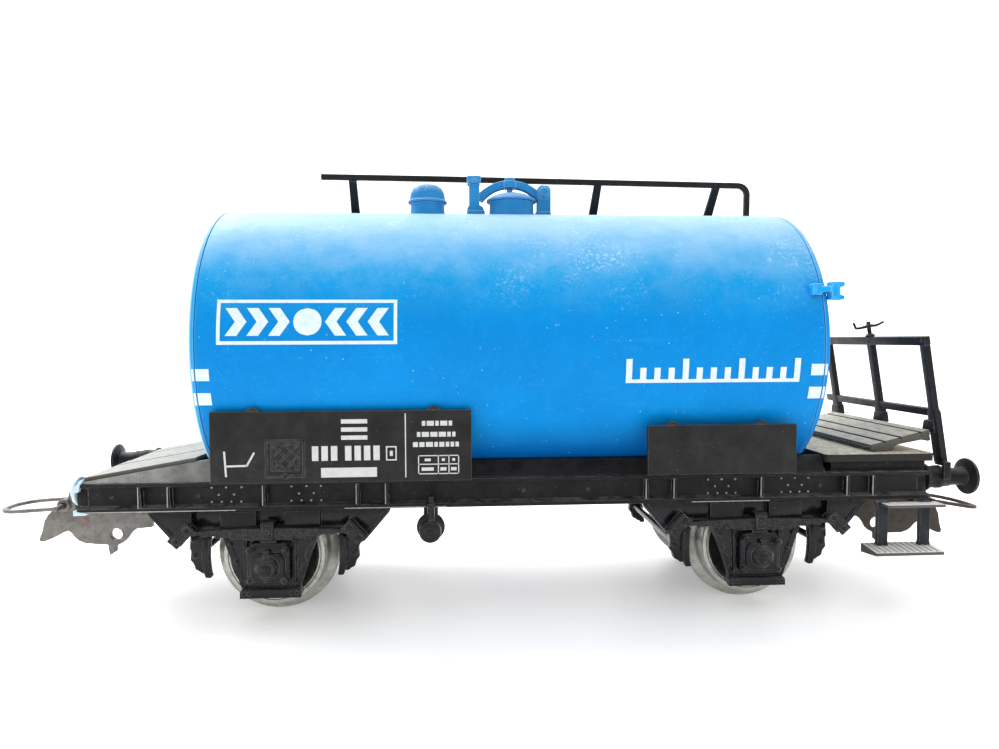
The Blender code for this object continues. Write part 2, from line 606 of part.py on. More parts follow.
def build_buffers(black):
    """Three whole buffers; the near left one has broken off and left its stub."""
    places = (("right_near", 1, -1), ("right_far", 1, 1), ("left_far", -1, 1), ("left_near_stub", -1, -1))
    start = 44.95 + GAP
    for name, way, side in places:
        collar = [(0, start), (1.25, start), (1.25, 46.6), (1.1, 48.0)]
        whole = [(0.98, 48.1), (0.95, 49.7), (1.4, 49.95), (BUFFER_HEAD_R, 50.1), (BUFFER_HEAD_R, 50.4)]
        whole += [(1.3, BUFFER_FACE_X - 0.15), (0, BUFFER_FACE_X)]
        broken = [(0, start), (1.25, start), (1.1, 45.7), (0.6, 45.5), (0, 45.75)]
        profile = broken if name.endswith("stub") else collar + whole
        centre = (0, side * BUFFER_Y, BUFFER_Z)
        shape = turned(profile, centre, (way, 0, 0), 18)
        smooth(make_object(f"buffer_{name}", shape, black))


def build_steps(black):
    for side_name, side in (("near", -1), ("far", 1)):
        shapes = []
        for x in (39.35, 44.05):
            shapes.append(box((x - 0.65, x + 0.65), sorted((side * 11.65, side * 12.3)), (6.2, 11.5)))
        shapes.append(box((39.1, 45.45), sorted((side * 11.9, side * 13.6)), (11.0, 11.35), 0.05))
        tread = [(11.15, 6.75), (14.15, 6.45), (14.15, 6.05), (11.15, 5.75)]
        tread = [(side * y, z) for y, z in tread]
        shapes.append(prism(tread, "X", 37.5, 45.0))
        combined(f"step_right_{side_name}", shapes, black)


def build_drain_valves(black):
    x = -9.2
    for side_name, side in (("near", -1), ("far", 1)):
        centre = (x, 0, 9.3)
        body = [(0, 8.8), (1.0, 8.8), (1.0, 10.25), (1.5, 10.25), (1.5, 10.75), (0.85, 10.75), (0.85, 12.05)]
        body += [(1.15, 12.05), (1.15, 12.95), (0.4, 12.95), (0.4, 13.3), (0, 13.3)]
        shapes = [turned(body, centre, (0, side, 0), 16)]
        shapes.append(rod((x + 0.1, side * 12.3, 9.3), (x + 0.1, side * 12.3, 13.0), 0.38, 10))
        shapes.append(rod((x + 0.1, side * 12.3, 11.9), (x + 0.1, side * 12.3, 12.4), 0.55, 10))
        shapes.append(rod((x, side * 9.6, 9.0), (x, side * 9.6, 11.5), 0.8, 12))
        combined(f"drain_valve_{side_name}", shapes, black)


def build_inner_parts(steel):
    """A steel weight in the bottom of the tank, and the two screws that hold tank and frame together."""
    weight = box((-24, 24), (-6.5, 6.5), (15.2, 18.2), 0.3)
    combined("ballast_weight", [weight], steel)
    profile = [(0, 10.5), (1.5, 10.5), (1.5, 11.45), (0.75, 11.45 + GAP), (0.75, 12.55), (0, 12.55)]
    for name, x in (("tank_screw_left", -12.0), ("tank_screw_right", 12.0)):
        smooth(make_object(name, turned(profile, (x, 0, 0), (0, 0, 1), 16), steel))


# ---------------------------------------------------------------- couplings


def build_coupling(end_name, way, sag_deg, droop_deg, steel):
    """A hook plate that swivels under the headstock, its pin, and a loop that lifts."""
    pivot = (way * COUPLING_PIVOT_X, 0, 0)
    eye_centre = Vector((way * COUPLING_PIVOT_X, 0, LOOP_PIVOT_Z))
    tip = Matrix.Rotation(math.radians(way * sag_deg), 4, "Y")
    sag = Matrix.Translation(eye_centre) @ tip @ Matrix.Translation(-eye_centre)
    loop_pivot = sag @ Vector((way * LOOP_PIVOT_X, 0, LOOP_PIVOT_Z))
    hook = [(42.0, 7.2), (43.8, 7.1), (44.4, 6.6), (44.9, 5.9), (45.7, 5.35), (46.2, 5.2), (46.2, 4.4), (46.9, 4.0)]
    hook += [(47.1, 5.3), (49.6, 5.5), (50.4, 5.9), (50.9, 6.4), (51.5, 7.0), (52.6, 6.5), (54.2, 5.8), (54.8, 5.8)]
    hook += [(54.4, 7.1), (54.1, 8.3), (53.7, 9.0), (53.0, 9.6), (50.6, 9.75), (46.0, 9.9), (42.0, 10.0)]
    plate = prism([(way * x, z) for x, z in hook], "Y", -0.45, 0.45)
    strap = box(sorted((way * 39.0, way * 45.2)), (-1.5, 1.5), (9.75, 10.45))
    eye = rod((way * COUPLING_PIVOT_X, 0, 9.75), (way * COUPLING_PIVOT_X, 0, 10.8), 1.6, 18)
    barrel = rod((way * LOOP_PIVOT_X, -1.5, LOOP_PIVOT_Z), (way * LOOP_PIVOT_X, 1.5, LOOP_PIVOT_Z), 0.75, 12)
    riser = box(sorted((way * 50.2, way * 51.0)), (-1.2, 1.2), (9.5, 11.9), 0.1)
    pin_hole = rod((way * COUPLING_PIVOT_X, 0, 9.0), (way * COUPLING_PIVOT_X, 0, 12.0), 0.66, 16)
    plate_hole = rod((way * 46.1, -3, 6.5), (way * 46.1, 3, 6.5), 0.72, 16)
    loop_hole = rod((way * LOOP_PIVOT_X, -3, LOOP_PIVOT_Z), (way * LOOP_PIVOT_X, 3, LOOP_PIVOT_Z), 0.36, 14)
    holes = [moved(hole, sag) for hole in (pin_hole, plate_hole, loop_hole)]
    shapes = [moved(shape, sag) for shape in (plate, strap, eye, barrel, riser)]
    combined(f"coupling_{end_name}", shapes, steel, holes, pivot)

    pin = [(0, 8.9), (1.0, 8.9), (1.0, 9.6), (0.54, 9.65), (0.54, 12.3), (0, 12.3)]
    smooth(make_object(f"coupling_pin_{end_name}", turned(pin, pivot, (0, 0, 1), 16), steel))

    # The loop: a cross pin in the barrel, an arm at each side and a rounded front.
    turn = Matrix.Rotation(math.radians(way * droop_deg), 4, "Y")
    droop = Matrix.Translation(loop_pivot) @ turn
    half = LOOP_HALF_WIDTH
    thick = 0.22
    corner_x = LOOP_REACH - LOOP_CORNER
    outer = [(-0.5, -half)]
    outer += arc_points((corner_x, -half + LOOP_CORNER), LOOP_CORNER, -90, 0, 6)
    outer += arc_points((corner_x, half - LOOP_CORNER), LOOP_CORNER, 0, 90, 6)
    outer += [(-0.5, half)]
    inner_half = half - 0.6
    inner_corner = LOOP_CORNER - 0.6
    inner = [(-0.5, inner_half)]
    inner += arc_points((corner_x, inner_half - inner_corner), inner_corner, 90, 0, 6)
    inner += arc_points((corner_x, -inner_half + inner_corner), inner_corner, 0, -90, 6)
    inner += [(-0.5, -inner_half)]
    frame = prism([(way * x, y) for x, y in outer + inner], "Z", -thick, thick)
    cross = rod((0, -half + 0.1, 0), (0, half - 0.1, 0), 0.29, 14)
    shapes = [moved(shape, droop) for shape in (frame, cross)]
    combined(f"coupling_loop_{end_name}", shapes, steel, (), loop_pivot)


def main():
    clear_scene()
    blue = make_material("tank_plastic", TANK_BLUE, 0.45)
    black = make_material("frame_plastic", PLASTIC_BLACK, 0.42)
    deck = make_material("deck_plastic", DECK_GREY, 0.8)
    wheel_grey = make_material("wheel_metal", WHEEL_GREY, 0.4, 0.9)
    steel = make_material("coupling_steel", STEEL_GREY, 0.45, 0.8)

    build_tank(blue)
    build_tank_top(blue)
    build_top_walkway(black)
    build_underframe(black)
    build_cradle(black)
    build_left_deck(black, deck)
    build_right_floor(black)
    build_platform(deck)
    build_end_railing(black)
    build_brake_spindle(black)
    for end_name, way in (("left", -1), ("right", 1)):
        axle_x = way * WHEELBASE / 2
        build_wheelset(end_name, axle_x, wheel_grey, steel)
        for side_name, side in (("near", -1), ("far", 1)):
            build_axle_guard(f"axle_guard_{end_name}_{side_name}", axle_x, side, black)
            build_leaf_spring(f"leaf_spring_{end_name}_{side_name}", axle_x, side, black)
        build_brake_beam(f"brake_outer_{end_name}", axle_x, way, black)
        build_brake_beam(f"brake_inner_{end_name}", axle_x, -way, black)
    build_boards(black)
    build_buffers(black)
    build_steps(black)
    build_drain_valves(black)
    build_inner_parts(steel)
    build_coupling("left", -1, 0.0, 3.0, steel)
    build_coupling("right", 1, 5.0, 10.0, steel)


main()
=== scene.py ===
"""Looks for the model tank wagon: detailed pieces, materials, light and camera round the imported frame.

Lengths are in millimetres until a piece is made. X runs along the wagon to the brakeman's platform, the
near side is at -Y, and the table is at Z 0.
"""

import math  # noqa: E402
import random  # noqa: E402

import bmesh  # noqa: E402
import bpy  # noqa: E402
from mathutils import Matrix, Vector  # noqa: E402


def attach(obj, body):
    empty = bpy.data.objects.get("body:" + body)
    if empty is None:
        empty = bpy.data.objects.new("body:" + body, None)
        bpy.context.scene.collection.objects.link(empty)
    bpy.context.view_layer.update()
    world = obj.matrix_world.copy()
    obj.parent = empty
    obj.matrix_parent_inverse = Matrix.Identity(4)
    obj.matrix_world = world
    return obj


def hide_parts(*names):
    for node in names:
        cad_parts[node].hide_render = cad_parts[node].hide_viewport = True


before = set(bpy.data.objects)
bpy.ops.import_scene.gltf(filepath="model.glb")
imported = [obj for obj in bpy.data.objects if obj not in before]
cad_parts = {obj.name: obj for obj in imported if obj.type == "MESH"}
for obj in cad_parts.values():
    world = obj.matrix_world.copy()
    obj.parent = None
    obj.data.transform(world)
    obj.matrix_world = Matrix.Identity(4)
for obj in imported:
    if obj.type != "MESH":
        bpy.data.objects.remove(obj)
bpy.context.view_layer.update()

draw = random.Random(11)

MM = 0.001
FRAME = "frame"
ENDS = (("left", -1), ("right", 1))
SIDES = (("near", -1), ("far", 1))
ALONG, ACROSS, UP = (1, 0, 0), (0, 1, 0), (0, 0, 1)

# The tank: its radius, the height of its axis, and its two seams.
TANK_R = 15.46
TANK_Z = 28.2
TANK_X = (-31.5, 30.9)
BARREL_BORE_R = 14.5
TANK_STEPS = 160
PRINT_LIFT = 0.03
PRINT_STEP = 0.16

# The running gear and the couplings.
AXLE_X = 25.6
AXLE_Z = 6.5
PIVOT_X = 40.6
HINGE_X = 51.4
HINGE_Z = 10.2

# The floors at the ends, and the lettering boards.
RAMP_SLOPE = math.tan(math.radians(9.8))
RAMP_FOOT = (-44.4, 15.1)
DECK_HIGH_X = -33.15
PLATFORM_TILT = math.radians(13.2)
RAILING_TILT = math.radians(9.5)
BOARD_FACE = 15.0

# The light: the room's strength towards the camera and behind the wagon, the window and the table.
FRONT_LEVEL = 1.0
BACK_LEVEL = 1.7
WINDOW_WATTS = 4.5
TABLE_GLOW = 0.26
TABLE_HALF_M = 3.0

# The camera that matches the photograph: its place in millimetres, its turn in degrees, and its lens.
CAMERA_PLACE = (-6.728, -86.532, 29.008)
CAMERA_TURN = (3.662, -2.749, -0.221)
SENSOR_MM = 36.0
LENS_MM = 26.0865946

# Edges bent by more than this, in radians, are rounded.
SHARP_EDGE = 0.35

# ---------------------------------------------------------------- shapes, in millimetres


def soften(shape, width, segments=2):
    """Rounds every edge whose faces meet at more than SHARP_EDGE radians."""
    if width:
        sharp = [e for e in shape.edges if e.is_manifold and e.calc_face_angle(0) > SHARP_EDGE]
        settings = {"offset": width, "segments": segments, "profile": 0.5, "clamp_overlap": True}
        bmesh.ops.bevel(shape, geom=sharp, affect="EDGES", **settings)
    return shape


def box(x, y, z, round_by=0.06, segments=2):
    """A block between two values on each axis, in either order."""
    x, y, z = sorted(x), sorted(y), sorted(z)
    shape = bmesh.new()
    centre = Vector(((x[0] + x[1]) / 2, (y[0] + y[1]) / 2, (z[0] + z[1]) / 2))
    size = (x[1] - x[0], y[1] - y[0], z[1] - z[0])
    bmesh.ops.create_cube(
        shape, size=1.0, matrix=Matrix.Translation(centre) @ Matrix.Diagonal((*size, 1.0))
    )
    return soften(shape, min(round_by, min(size) * 0.4), segments)


def extruded(shape, faces, step):
    """Thickens flat faces by a step, and returns the shape with its normals facing outwards."""
    grown = bmesh.ops.extrude_face_region(shape, geom=faces)
    verts = [v for v in grown["geom"] if isinstance(v, bmesh.types.BMVert)]
    bmesh.ops.translate(shape, vec=step, verts=verts)
    bmesh.ops.recalc_face_normals(shape, faces=shape.faces[:])
    return shape


def prism(outline, axis, low, high, round_by=0.05, segments=2):
    """An outline carried along one axis; its pairs are the two other coordinates, in their usual order."""
    low, high = sorted((low, high))
    shape = bmesh.new()

    def point(pair, along):
        a, b = pair
        return {"X": (along, a, b), "Y": (a, along, b), "Z": (a, b, along)}[axis]

    face = shape.faces.new([shape.verts.new(point(pair, low)) for pair in outline])
    extruded(shape, [face], Vector(point((0, 0), high - low)))
    return soften(shape, round_by, segments)


def turned(profile, centre, direction, segments=48, closed=False):
    """A profile of (radius, distance) turned about an axis; closed makes a ring, open runs axis to axis."""
    shape = bmesh.new()
    rotate = Vector(UP).rotation_difference(Vector(direction)).to_matrix().to_4x4()
    place = Matrix.Translation(centre) @ rotate
    rings = []
    for radius, along in profile:
        if radius == 0:
            rings.append([shape.verts.new(place @ Vector((0, 0, along)))])
            continue
        ring = []
        for step in range(segments):
            angle = 2 * math.pi * step / segments
            point = Vector((radius * math.cos(angle), radius * math.sin(angle), along))
            ring.append(shape.verts.new(place @ point))
        rings.append(ring)
    pairs = list(zip(rings, rings[1:]))
    if closed:
        pairs.append((rings[-1], rings[0]))
    for lower, upper in pairs:
        for step in range(segments):
            after = (step + 1) % segments
            if len(lower) == 1:
                shape.faces.new((lower[0], upper[step], upper[after]))
            elif len(upper) == 1:
                shape.faces.new((lower[step], upper[0], lower[after]))
            else:
                shape.faces.new((lower[step], upper[step], upper[after], lower[after]))
    bmesh.ops.recalc_face_normals(shape, faces=shape.faces[:])
    return shape


def rod(start, end, radius, segments=20, edge=0.08):
    """A round bar whose two ends have a small chamfer."""
    start = Vector(start)
    along = Vector(end) - start
    edge = min(edge, radius * 0.4, along.length * 0.4)
    length = along.length
    profile = [
        (0, 0), (radius - edge, 0), (radius, edge), (radius, length - edge), (radius - edge, length),
        (0, length),
    ]
    return turned(profile, start, along.normalized(), segments)


def dome(centre, direction, radius, height, segments=14):
    """A rounded rivet or bolt head that stands on its centre."""
    profile = [
        (0, -0.05), (radius, -0.05), (radius, height * 0.3), (radius * 0.86, height * 0.7),
        (radius * 0.5, height * 0.95), (0, height),
    ]
    return turned(profile, centre, direction, segments)


def arc(centre, radius, start_deg, end_deg, steps):
    """Points on an arc in a plane, both ends included."""
    points = []
    for step in range(steps + 1):
        angle = math.radians(start_deg + (end_deg - start_deg) * step / steps)
        points.append((centre[0] + radius * math.cos(angle), centre[1] + radius * math.sin(angle)))
    return points


def rounded(width, height, corner, steps=3):
    """The outline of a rounded rectangle about the origin."""
    a, b = width / 2 - corner, height / 2 - corner
    points = []
    for (x, y), start in (((a, b), 0), ((-a, b), 90), ((-a, -b), 180), ((a, -b), 270)):
        points += arc((x, y), corner, start, start + 90, steps)
    return points


def sweep(path, section, up=UP, scales=None):
    """A section, given as (across, up) pairs, carried along a path of points."""
    path = [Vector(p) for p in path]
    up = Vector(up).normalized()
    shape = bmesh.new()
    rings = []
    for index, point in enumerate(path):
        before = path[max(index - 1, 0)]
        after = path[min(index + 1, len(path) - 1)]
        along = (after - before).normalized()
        across = along.cross(up).normalized()
        rise = across.cross(along).normalized()
        scale = scales[index] if scales else 1.0
        stretch = 1.0
        if 0 < index < len(path) - 1:
            bend = (point - before).normalized().angle((after - point).normalized(), 0)
            stretch = 1 / max(math.cos(bend / 2), 0.5)
        rings.append([
            shape.verts.new(point + (across * a * stretch + rise * b) * scale) for a, b in section
        ])
    for lower, upper in zip(rings, rings[1:]):
        for step in range(len(section)):
            after = (step + 1) % len(section)
            shape.faces.new((lower[step], upper[step], upper[after], lower[after]))
    shape.faces.new(rings[0])
    shape.faces.new(rings[-1])
    bmesh.ops.recalc_face_normals(shape, faces=shape.faces[:])
    return shape


def bar(start, end, width, depth, depth_axis=ACROSS, corner=0.08):
    """A straight bar with rounded long edges; its depth runs along depth_axis."""
    start, end = Vector(start), Vector(end)
    side = Vector(depth_axis).normalized()
    return sweep([start, end], rounded(width, depth, min(corner, width * 0.4, depth * 0.4), 2), side)


def moved(shape, matrix):
    """The same shape, carried to its place."""
    bmesh.ops.transform(shape, matrix=matrix, verts=shape.verts[:])
    return shape


def tilted(place, angle):
    """A place whose X and Z axes are turned about Y."""
    return Matrix.Translation(place) @ Matrix.Rotation(angle, 4, "Y")


def flipped(points, side):
    """Pairs whose first value is measured away from the middle, towards one side."""
    return [(side * a, b) for a, b in points]


def shifted(points, x, way=1):
    """Pairs whose first value is measured from x, in one direction."""
    return [(x + way * a, b) for a, b in points]


def symmetric(half, x, way=1):
    """An outline from its half: one side of x, then back along the other."""
    return shifted(half, x, way) + shifted(half[::-1], x, -way)


def screwed(shapes, foot, direction, length, radius, cap, segments=14, edge=0.08):
    """Adds a round boss along a direction and a smaller domed screw in its end."""
    foot = Vector(foot)
    direction = Vector(direction)
    shapes.append(rod(foot, foot + direction * length, radius, segments, edge))
    shapes.append(dome(foot + direction * cap[0], direction, cap[1], cap[2]))


def piece(name, shapes, material, body=FRAME, nodes=(), angle=38):
    """Joins the shapes into one object in metres and hangs it on a body of the frame."""
    mesh = bpy.data.meshes.new(name)
    whole = bmesh.new()
    for shape in shapes:
        part = bpy.data.meshes.new("part")
        shape.to_mesh(part)
        shape.free()
        whole.from_mesh(part)
        bpy.data.meshes.remove(part)
    bmesh.ops.scale(whole, vec=(MM, MM, MM), verts=whole.verts[:])
    whole.to_mesh(mesh)
    whole.free()
    mesh.materials.append(material)
    mesh.shade_smooth()
    mesh.set_sharp_from_angle(angle=math.radians(angle))
    made = bpy.data.objects.new(name, mesh)
    bpy.context.scene.collection.objects.link(made)
    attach(made, body)
    if nodes:
        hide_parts(*nodes)
    return made


# ---------------------------------------------------------------- materials


class Maker:
    """Writes one material's nodes."""

    def __init__(self, name):
        self.material = bpy.data.materials.new(name)
        self.material.use_nodes = True
        self.tree = self.material.node_tree
        self.shader = self.tree.nodes["Principled BSDF"]
        self.where = self.node("TexCoord").outputs["Object"]

    def node(self, kind, inputs=None, **settings):
        made = self.tree.nodes.new("ShaderNode" + kind)
        for key, value in settings.items():
            setattr(made, key, value)
        for key, value in (inputs or {}).items():
            self.put(made.inputs[key], value)
        return made

    def put(self, socket, value):
        if isinstance(value, bpy.types.NodeSocket):
            self.tree.links.new(value, socket)
        elif isinstance(value, tuple) and len(value) == 3 and socket.type == "RGBA":
            socket.default_value = (*value, 1.0)
        else:
            socket.default_value = value

    def mm(self, stretch=(1, 1, 1)):
        """Object coordinates in millimetres, stretched along the axes."""
        scale = tuple(1000 * s for s in stretch)
        return self.node("Mapping", {"Vector": self.where, "Scale": scale}).outputs[0]

    def noise(self, scale, detail=4.0, rough=0.55, stretch=(1, 1, 1), distortion=0.0):
        inputs = {"Vector": self.mm(stretch), "Scale": scale, "Detail": detail, "Roughness": rough}
        inputs["Distortion"] = distortion
        return self.node("TexNoise", inputs).outputs["Fac"]

    def ramp(self, value, low, high, to_low=0.0, to_high=1.0):
        """A smooth step between two values."""
        inputs = {"Value": value, "From Min": low, "From Max": high, "To Min": to_low, "To Max": to_high}
        return self.node("MapRange", inputs, interpolation_type="SMOOTHSTEP").outputs[0]

    def math(self, operation, a, b=0.0):
        return self.node("Math", {0: a, 1: b}, operation=operation).outputs[0]

    def times(self, *values):
        result = values[0]
        for value in values[1:]:
            result = self.math("MULTIPLY", result, value)
        return result

    def inverse(self, value):
        return self.math("SUBTRACT", 1.0, value)

    def blend(self, factor, a, b):
        """Colour a where the factor is 0, colour b where it is 1."""
        made = self.node("Mix", data_type="RGBA")
        self.put(made.inputs[0], factor)
        self.put(made.inputs[6], a)
        self.put(made.inputs[7], b)
        return made.outputs[2]

    def facing(self, axis, low, high):
        """0 to 1 as the normal's part along an axis goes from low to high."""
        normal = self.node("NewGeometry").outputs["Normal"]
        parts = self.node("SeparateXYZ", {0: normal}).outputs
        return self.ramp(parts[axis], low, high)

    def edges(self, radius=0.16, low=0.02, high=0.16):
        """1 on convex edges, found by comparing the surface with a rounded copy of itself."""
        soft = self.node("Bevel", {"Radius": radius * MM}, samples=4).outputs[0]
        true = self.node("NewGeometry").outputs["Normal"]
        dot = self.node("VectorMath", {0: soft, 1: true}, operation="DOT_PRODUCT").outputs["Value"]
        return self.ramp(self.inverse(dot), low, high)

    def specks(self, scale, size, amount_scale=0.3, amount=0.5):
        """Small scattered dots, thicker in some places than in others."""
        cells = self.node("TexVoronoi", {"Vector": self.mm(), "Scale": scale}).outputs["Distance"]
        dots = self.ramp(cells, size, size * 0.5)
        where = self.ramp(self.noise(amount_scale, 3.0), amount, amount + 0.12)
        return self.times(dots, where)

    def bump(self, value, strength, distance, normal=None):
        inputs = {"Height": value, "Strength": strength, "Distance": distance * MM}
        if normal is not None:
            inputs["Normal"] = normal
        return self.node("Bump", inputs).outputs[0]

    def finish(self, colour, rough, normal=None, **constants):
        self.put(self.shader.inputs["Base Color"], colour)
        self.put(self.shader.inputs["Roughness"], rough)
        if normal is not None:
            self.put(self.shader.inputs["Normal"], normal)
        for key, value in constants.items():
            self.shader.inputs[key.replace("_", " ")].default_value = value
        return self.material


def shade(colour, factor, most=1.0):
    """A colour made darker or lighter, with no channel above most."""
    return tuple(min(channel * factor, most) for channel in colour)


def tank_material(
    name, base, deep, pale, dust_level, top_sheen_level, rim_highlight_level=0.0, shoulder=(0.0, 0.33, 0.68)
):
    """Dusty, scuffed blue plastic with painted light: a top tint and sheen, shade below, highlights on
    edges and left rim.
    """
    m = Maker(name)
    cloud = m.noise(0.10, 5.0, 0.6)
    mottle = m.noise(1.3, 6.0, 0.7)
    colour = m.blend(m.ramp(cloud, 0.35, 0.68), deep, base)
    colour = m.blend(m.times(m.ramp(mottle, 0.45, 0.8), 0.22), colour, pale)
    # Painted light: faces that tilt upwards take the shoulder tint, and the highest ones a pale painted
    # sheen.
    colour = m.blend(m.times(m.facing(2, 0.10, 0.62), 0.8), colour, shoulder)
    top_sheen = m.times(m.facing(2, 0.40, 1.12), top_sheen_level)
    colour = m.blend(top_sheen, colour, (0.58, 0.70, 0.76))
    # Painted shade: faces turned downwards are darkened towards deep blue.
    under = m.inverse(m.facing(2, -0.86, -0.42))
    colour = m.blend(m.times(under, 0.95), colour, (0.0, 0.06, 0.26))
    # Painted highlight: a pale band on the near side of the left cap's rim.
    rim = m.times(m.inverse(m.facing(0, -1.0, -0.12)), m.facing(0, -0.985, -0.90))
    near = m.inverse(m.facing(1, -0.30, 0.10))
    colour = m.blend(m.times(rim, near, rim_highlight_level), colour, (0.72, 0.86, 0.90))
    up = m.facing(2, 0.15, 0.8)
    film = m.ramp(m.noise(0.28, 6.0, 0.65), 0.36, 0.66)
    grit = m.ramp(m.noise(6.0, 3.0, 0.8), 0.52, 0.74)
    dust = m.times(up, m.math("ADD", m.times(film, 0.35), m.times(grit, 0.65)), dust_level)
    colour = m.blend(dust, colour, (0.60, 0.74, 0.84))
    patches = m.ramp(m.noise(0.13, 5.0, 0.62), 0.48, 0.66)
    scuffs = m.ramp(m.noise(2.6, 6.0, 0.78), 0.50, 0.64)
    scuffed = m.times(m.times(patches, scuffs), m.times(m.facing(2, 0.20, 0.60), 0.75))
    colour = m.blend(scuffed, colour, (0.50, 0.72, 0.80))
    # Painted highlight: convex edges are lightened.
    colour = m.blend(m.times(m.edges(0.22, 0.015, 0.14), 0.5), colour, (0.30, 0.58, 0.82))
    fine_motes = m.times(m.specks(2.6, 0.10, 0.35, 0.50), 0.6)
    motes = m.math("MAXIMUM", m.specks(1.15, 0.085, 0.22, 0.46), fine_motes)
    colour = m.blend(m.times(motes, 0.62), colour, (0.62, 0.74, 0.84))
    dirt = m.times(m.specks(0.5, 0.045, 0.3, 0.52), 0.5)
    colour = m.blend(dirt, colour, (0.02, 0.05, 0.12))
    scratch = m.ramp(m.noise(0.9, 2.0, 0.5, (0.12, 1, 2.6), 1.2), 0.66, 0.70)
    colour = m.blend(m.times(scratch, 0.10), colour, pale)
    rough = m.ramp(m.noise(0.8, 5.0), 0.3, 0.7, 0.34, 0.46)
    rough = m.math("ADD", rough, m.times(dust, 0.35))
    grain = m.bump(m.noise(5.5, 4.0, 0.6), 0.35, 0.02)
    wave = m.bump(m.noise(0.35, 2.0), 0.3, 0.12, grain)
    return m.finish(colour, rough, wave, Specular_IOR_Level=0.08)


def black_material(name, base, rough, dust_level, wear_and_highlight, dust_colour=(0.34, 0.32, 0.29), coat=0.0):
    """Black plastic with dust on what faces up, thin dust on its flanks and lighter edges, partly abrasion
    and partly painted highlight.
    """
    m = Maker(name)
    tone = m.noise(0.5, 5.0, 0.6)
    colour = m.blend(m.ramp(tone, 0.3, 0.75), shade(base, 0.7), shade(base, 1.5))
    up = m.facing(2, 0.2, 0.95)
    film = m.ramp(m.noise(0.7, 6.0, 0.7), 0.34, 0.62)
    grit = m.ramp(m.noise(7.0, 3.0, 0.8), 0.50, 0.70)
    dust = m.times(up, m.math("ADD", m.times(film, 0.6), m.times(grit, 0.5)), dust_level)
    side_film = m.ramp(m.noise(0.45, 6.0, 0.72), 0.50, 0.74)
    side_grit = m.ramp(m.noise(9.0, 2.0, 0.8), 0.4, 0.75)
    dust = m.math("MAXIMUM", dust, m.times(side_film, side_grit, 0.22, dust_level))
    colour = m.blend(dust, colour, dust_colour)
    # Edges are lightened, partly as abrasion and partly as a painted highlight.
    worn_and_highlit = m.times(m.edges(), m.ramp(m.noise(2.2, 4.0, 0.7), 0.30, 0.62), wear_and_highlight)
    colour = m.blend(worn_and_highlit, colour, (0.34, 0.34, 0.34))
    motes = m.times(m.specks(1.6, 0.075, 0.4, 0.48), 0.55)
    colour = m.blend(motes, colour, (0.45, 0.43, 0.38))
    rough = m.math("ADD", m.ramp(m.noise(1.4, 5.0), 0.3, 0.7, *rough), m.times(dust, 0.4))
    grain = m.bump(m.noise(8.0, 4.0, 0.65), 0.4, 0.03)
    wave = m.bump(m.noise(1.1, 3.0), 0.35, 0.06, grain)
    return m.finish(colour, rough, wave, Specular_IOR_Level=0.16, Coat_Weight=coat, Coat_Roughness=0.12)


def plank_material(name, light, dark, along, edge=(0.085, 0.080, 0.070)):
    """Dusty moulded planks with a fine grain along them; along is the stretch of the grain."""
    m = Maker(name)
    streak = m.noise(3.2, 6.0, 0.7, along, 0.4)
    fine = m.noise(11.0, 4.0, 0.7, along)
    blotch = m.noise(0.45, 5.0, 0.6)
    colour = m.blend(m.ramp(streak, 0.36, 0.64), dark, light)
    colour = m.blend(m.times(m.ramp(fine, 0.55, 0.75), 0.4), colour, shade(dark, 0.45))
    colour = m.blend(m.times(m.ramp(blotch, 0.5, 0.75), 0.4), colour, shade(light, 1.25, 0.9))
    colour = m.blend(m.times(m.edges(0.14, 0.02, 0.2), 0.35), colour, shade(light, 1.3, 0.9))
    colour = m.blend(m.times(m.specks(2.2, 0.09, 0.5, 0.46), 0.5), colour, (0.05, 0.045, 0.04))
    side = m.inverse(m.facing(2, 0.3, 0.8))
    colour = m.blend(m.times(side, 0.985), colour, edge)
    rough = m.ramp(fine, 0.3, 0.7, 0.62, 0.85)
    grain = m.bump(streak, 0.6, 0.08)
    grain = m.bump(fine, 0.5, 0.03, grain)
    return m.finish(colour, rough, grain, Specular_IOR_Level=0.35)


def metal_material(name, base, stain, rough, metallic, stain_level, stretch=(1, 1, 1)):
    """Stained and pitted metal; stretch draws out its fine lines along an axis."""
    m = Maker(name)
    cloud = m.noise(0.8, 6.0, 0.65)
    colour = m.blend(m.ramp(cloud, 0.3, 0.72), shade(base, 0.72), base)
    spots = m.ramp(m.noise(1.7, 6.0, 0.75), 0.48, 0.68)
    colour = m.blend(m.times(spots, stain_level), colour, stain)
    pits = m.ramp(m.noise(9.0, 3.0, 0.8), 0.60, 0.72)
    colour = m.blend(m.times(pits, 0.45), colour, shade(stain, 0.4))
    colour = m.blend(m.times(m.edges(0.12, 0.02, 0.2), 0.55), colour, shade(base, 1.5, 0.85))
    rough = m.math("ADD", m.ramp(m.noise(3.0, 5.0, 0.7), 0.3, 0.7, *rough), m.times(spots, 0.15))
    grain = m.bump(m.noise(4.0, 4.0, 0.7, stretch), 0.3, 0.03)
    grain = m.bump(pits, 0.25, 0.03, grain)
    return m.finish(colour, rough, grain, Metallic=metallic)


def print_material(name, ink, under):
    """Pad-printed ink, a little thin and chipped, with the surface under it showing through."""
    m = Maker(name)
    thin = m.ramp(m.noise(1.6, 6.0, 0.7), 0.30, 0.62)
    colour = m.blend(thin, shade(ink, 0.86), ink)
    chips = m.ramp(m.noise(5.0, 5.0, 0.8), 0.66, 0.70)
    colour = m.blend(m.times(chips, 0.75), colour, under)
    colour = m.blend(m.times(m.specks(3.4, 0.12, 0.6, 0.5), 0.4), colour, under)
    rough = m.ramp(m.noise(2.5, 3.0), 0.3, 0.7, 0.42, 0.6)
    return m.finish(colour, rough, m.bump(m.noise(6.0, 3.0), 0.3, 0.02))


DUST = (0.36, 0.345, 0.32)

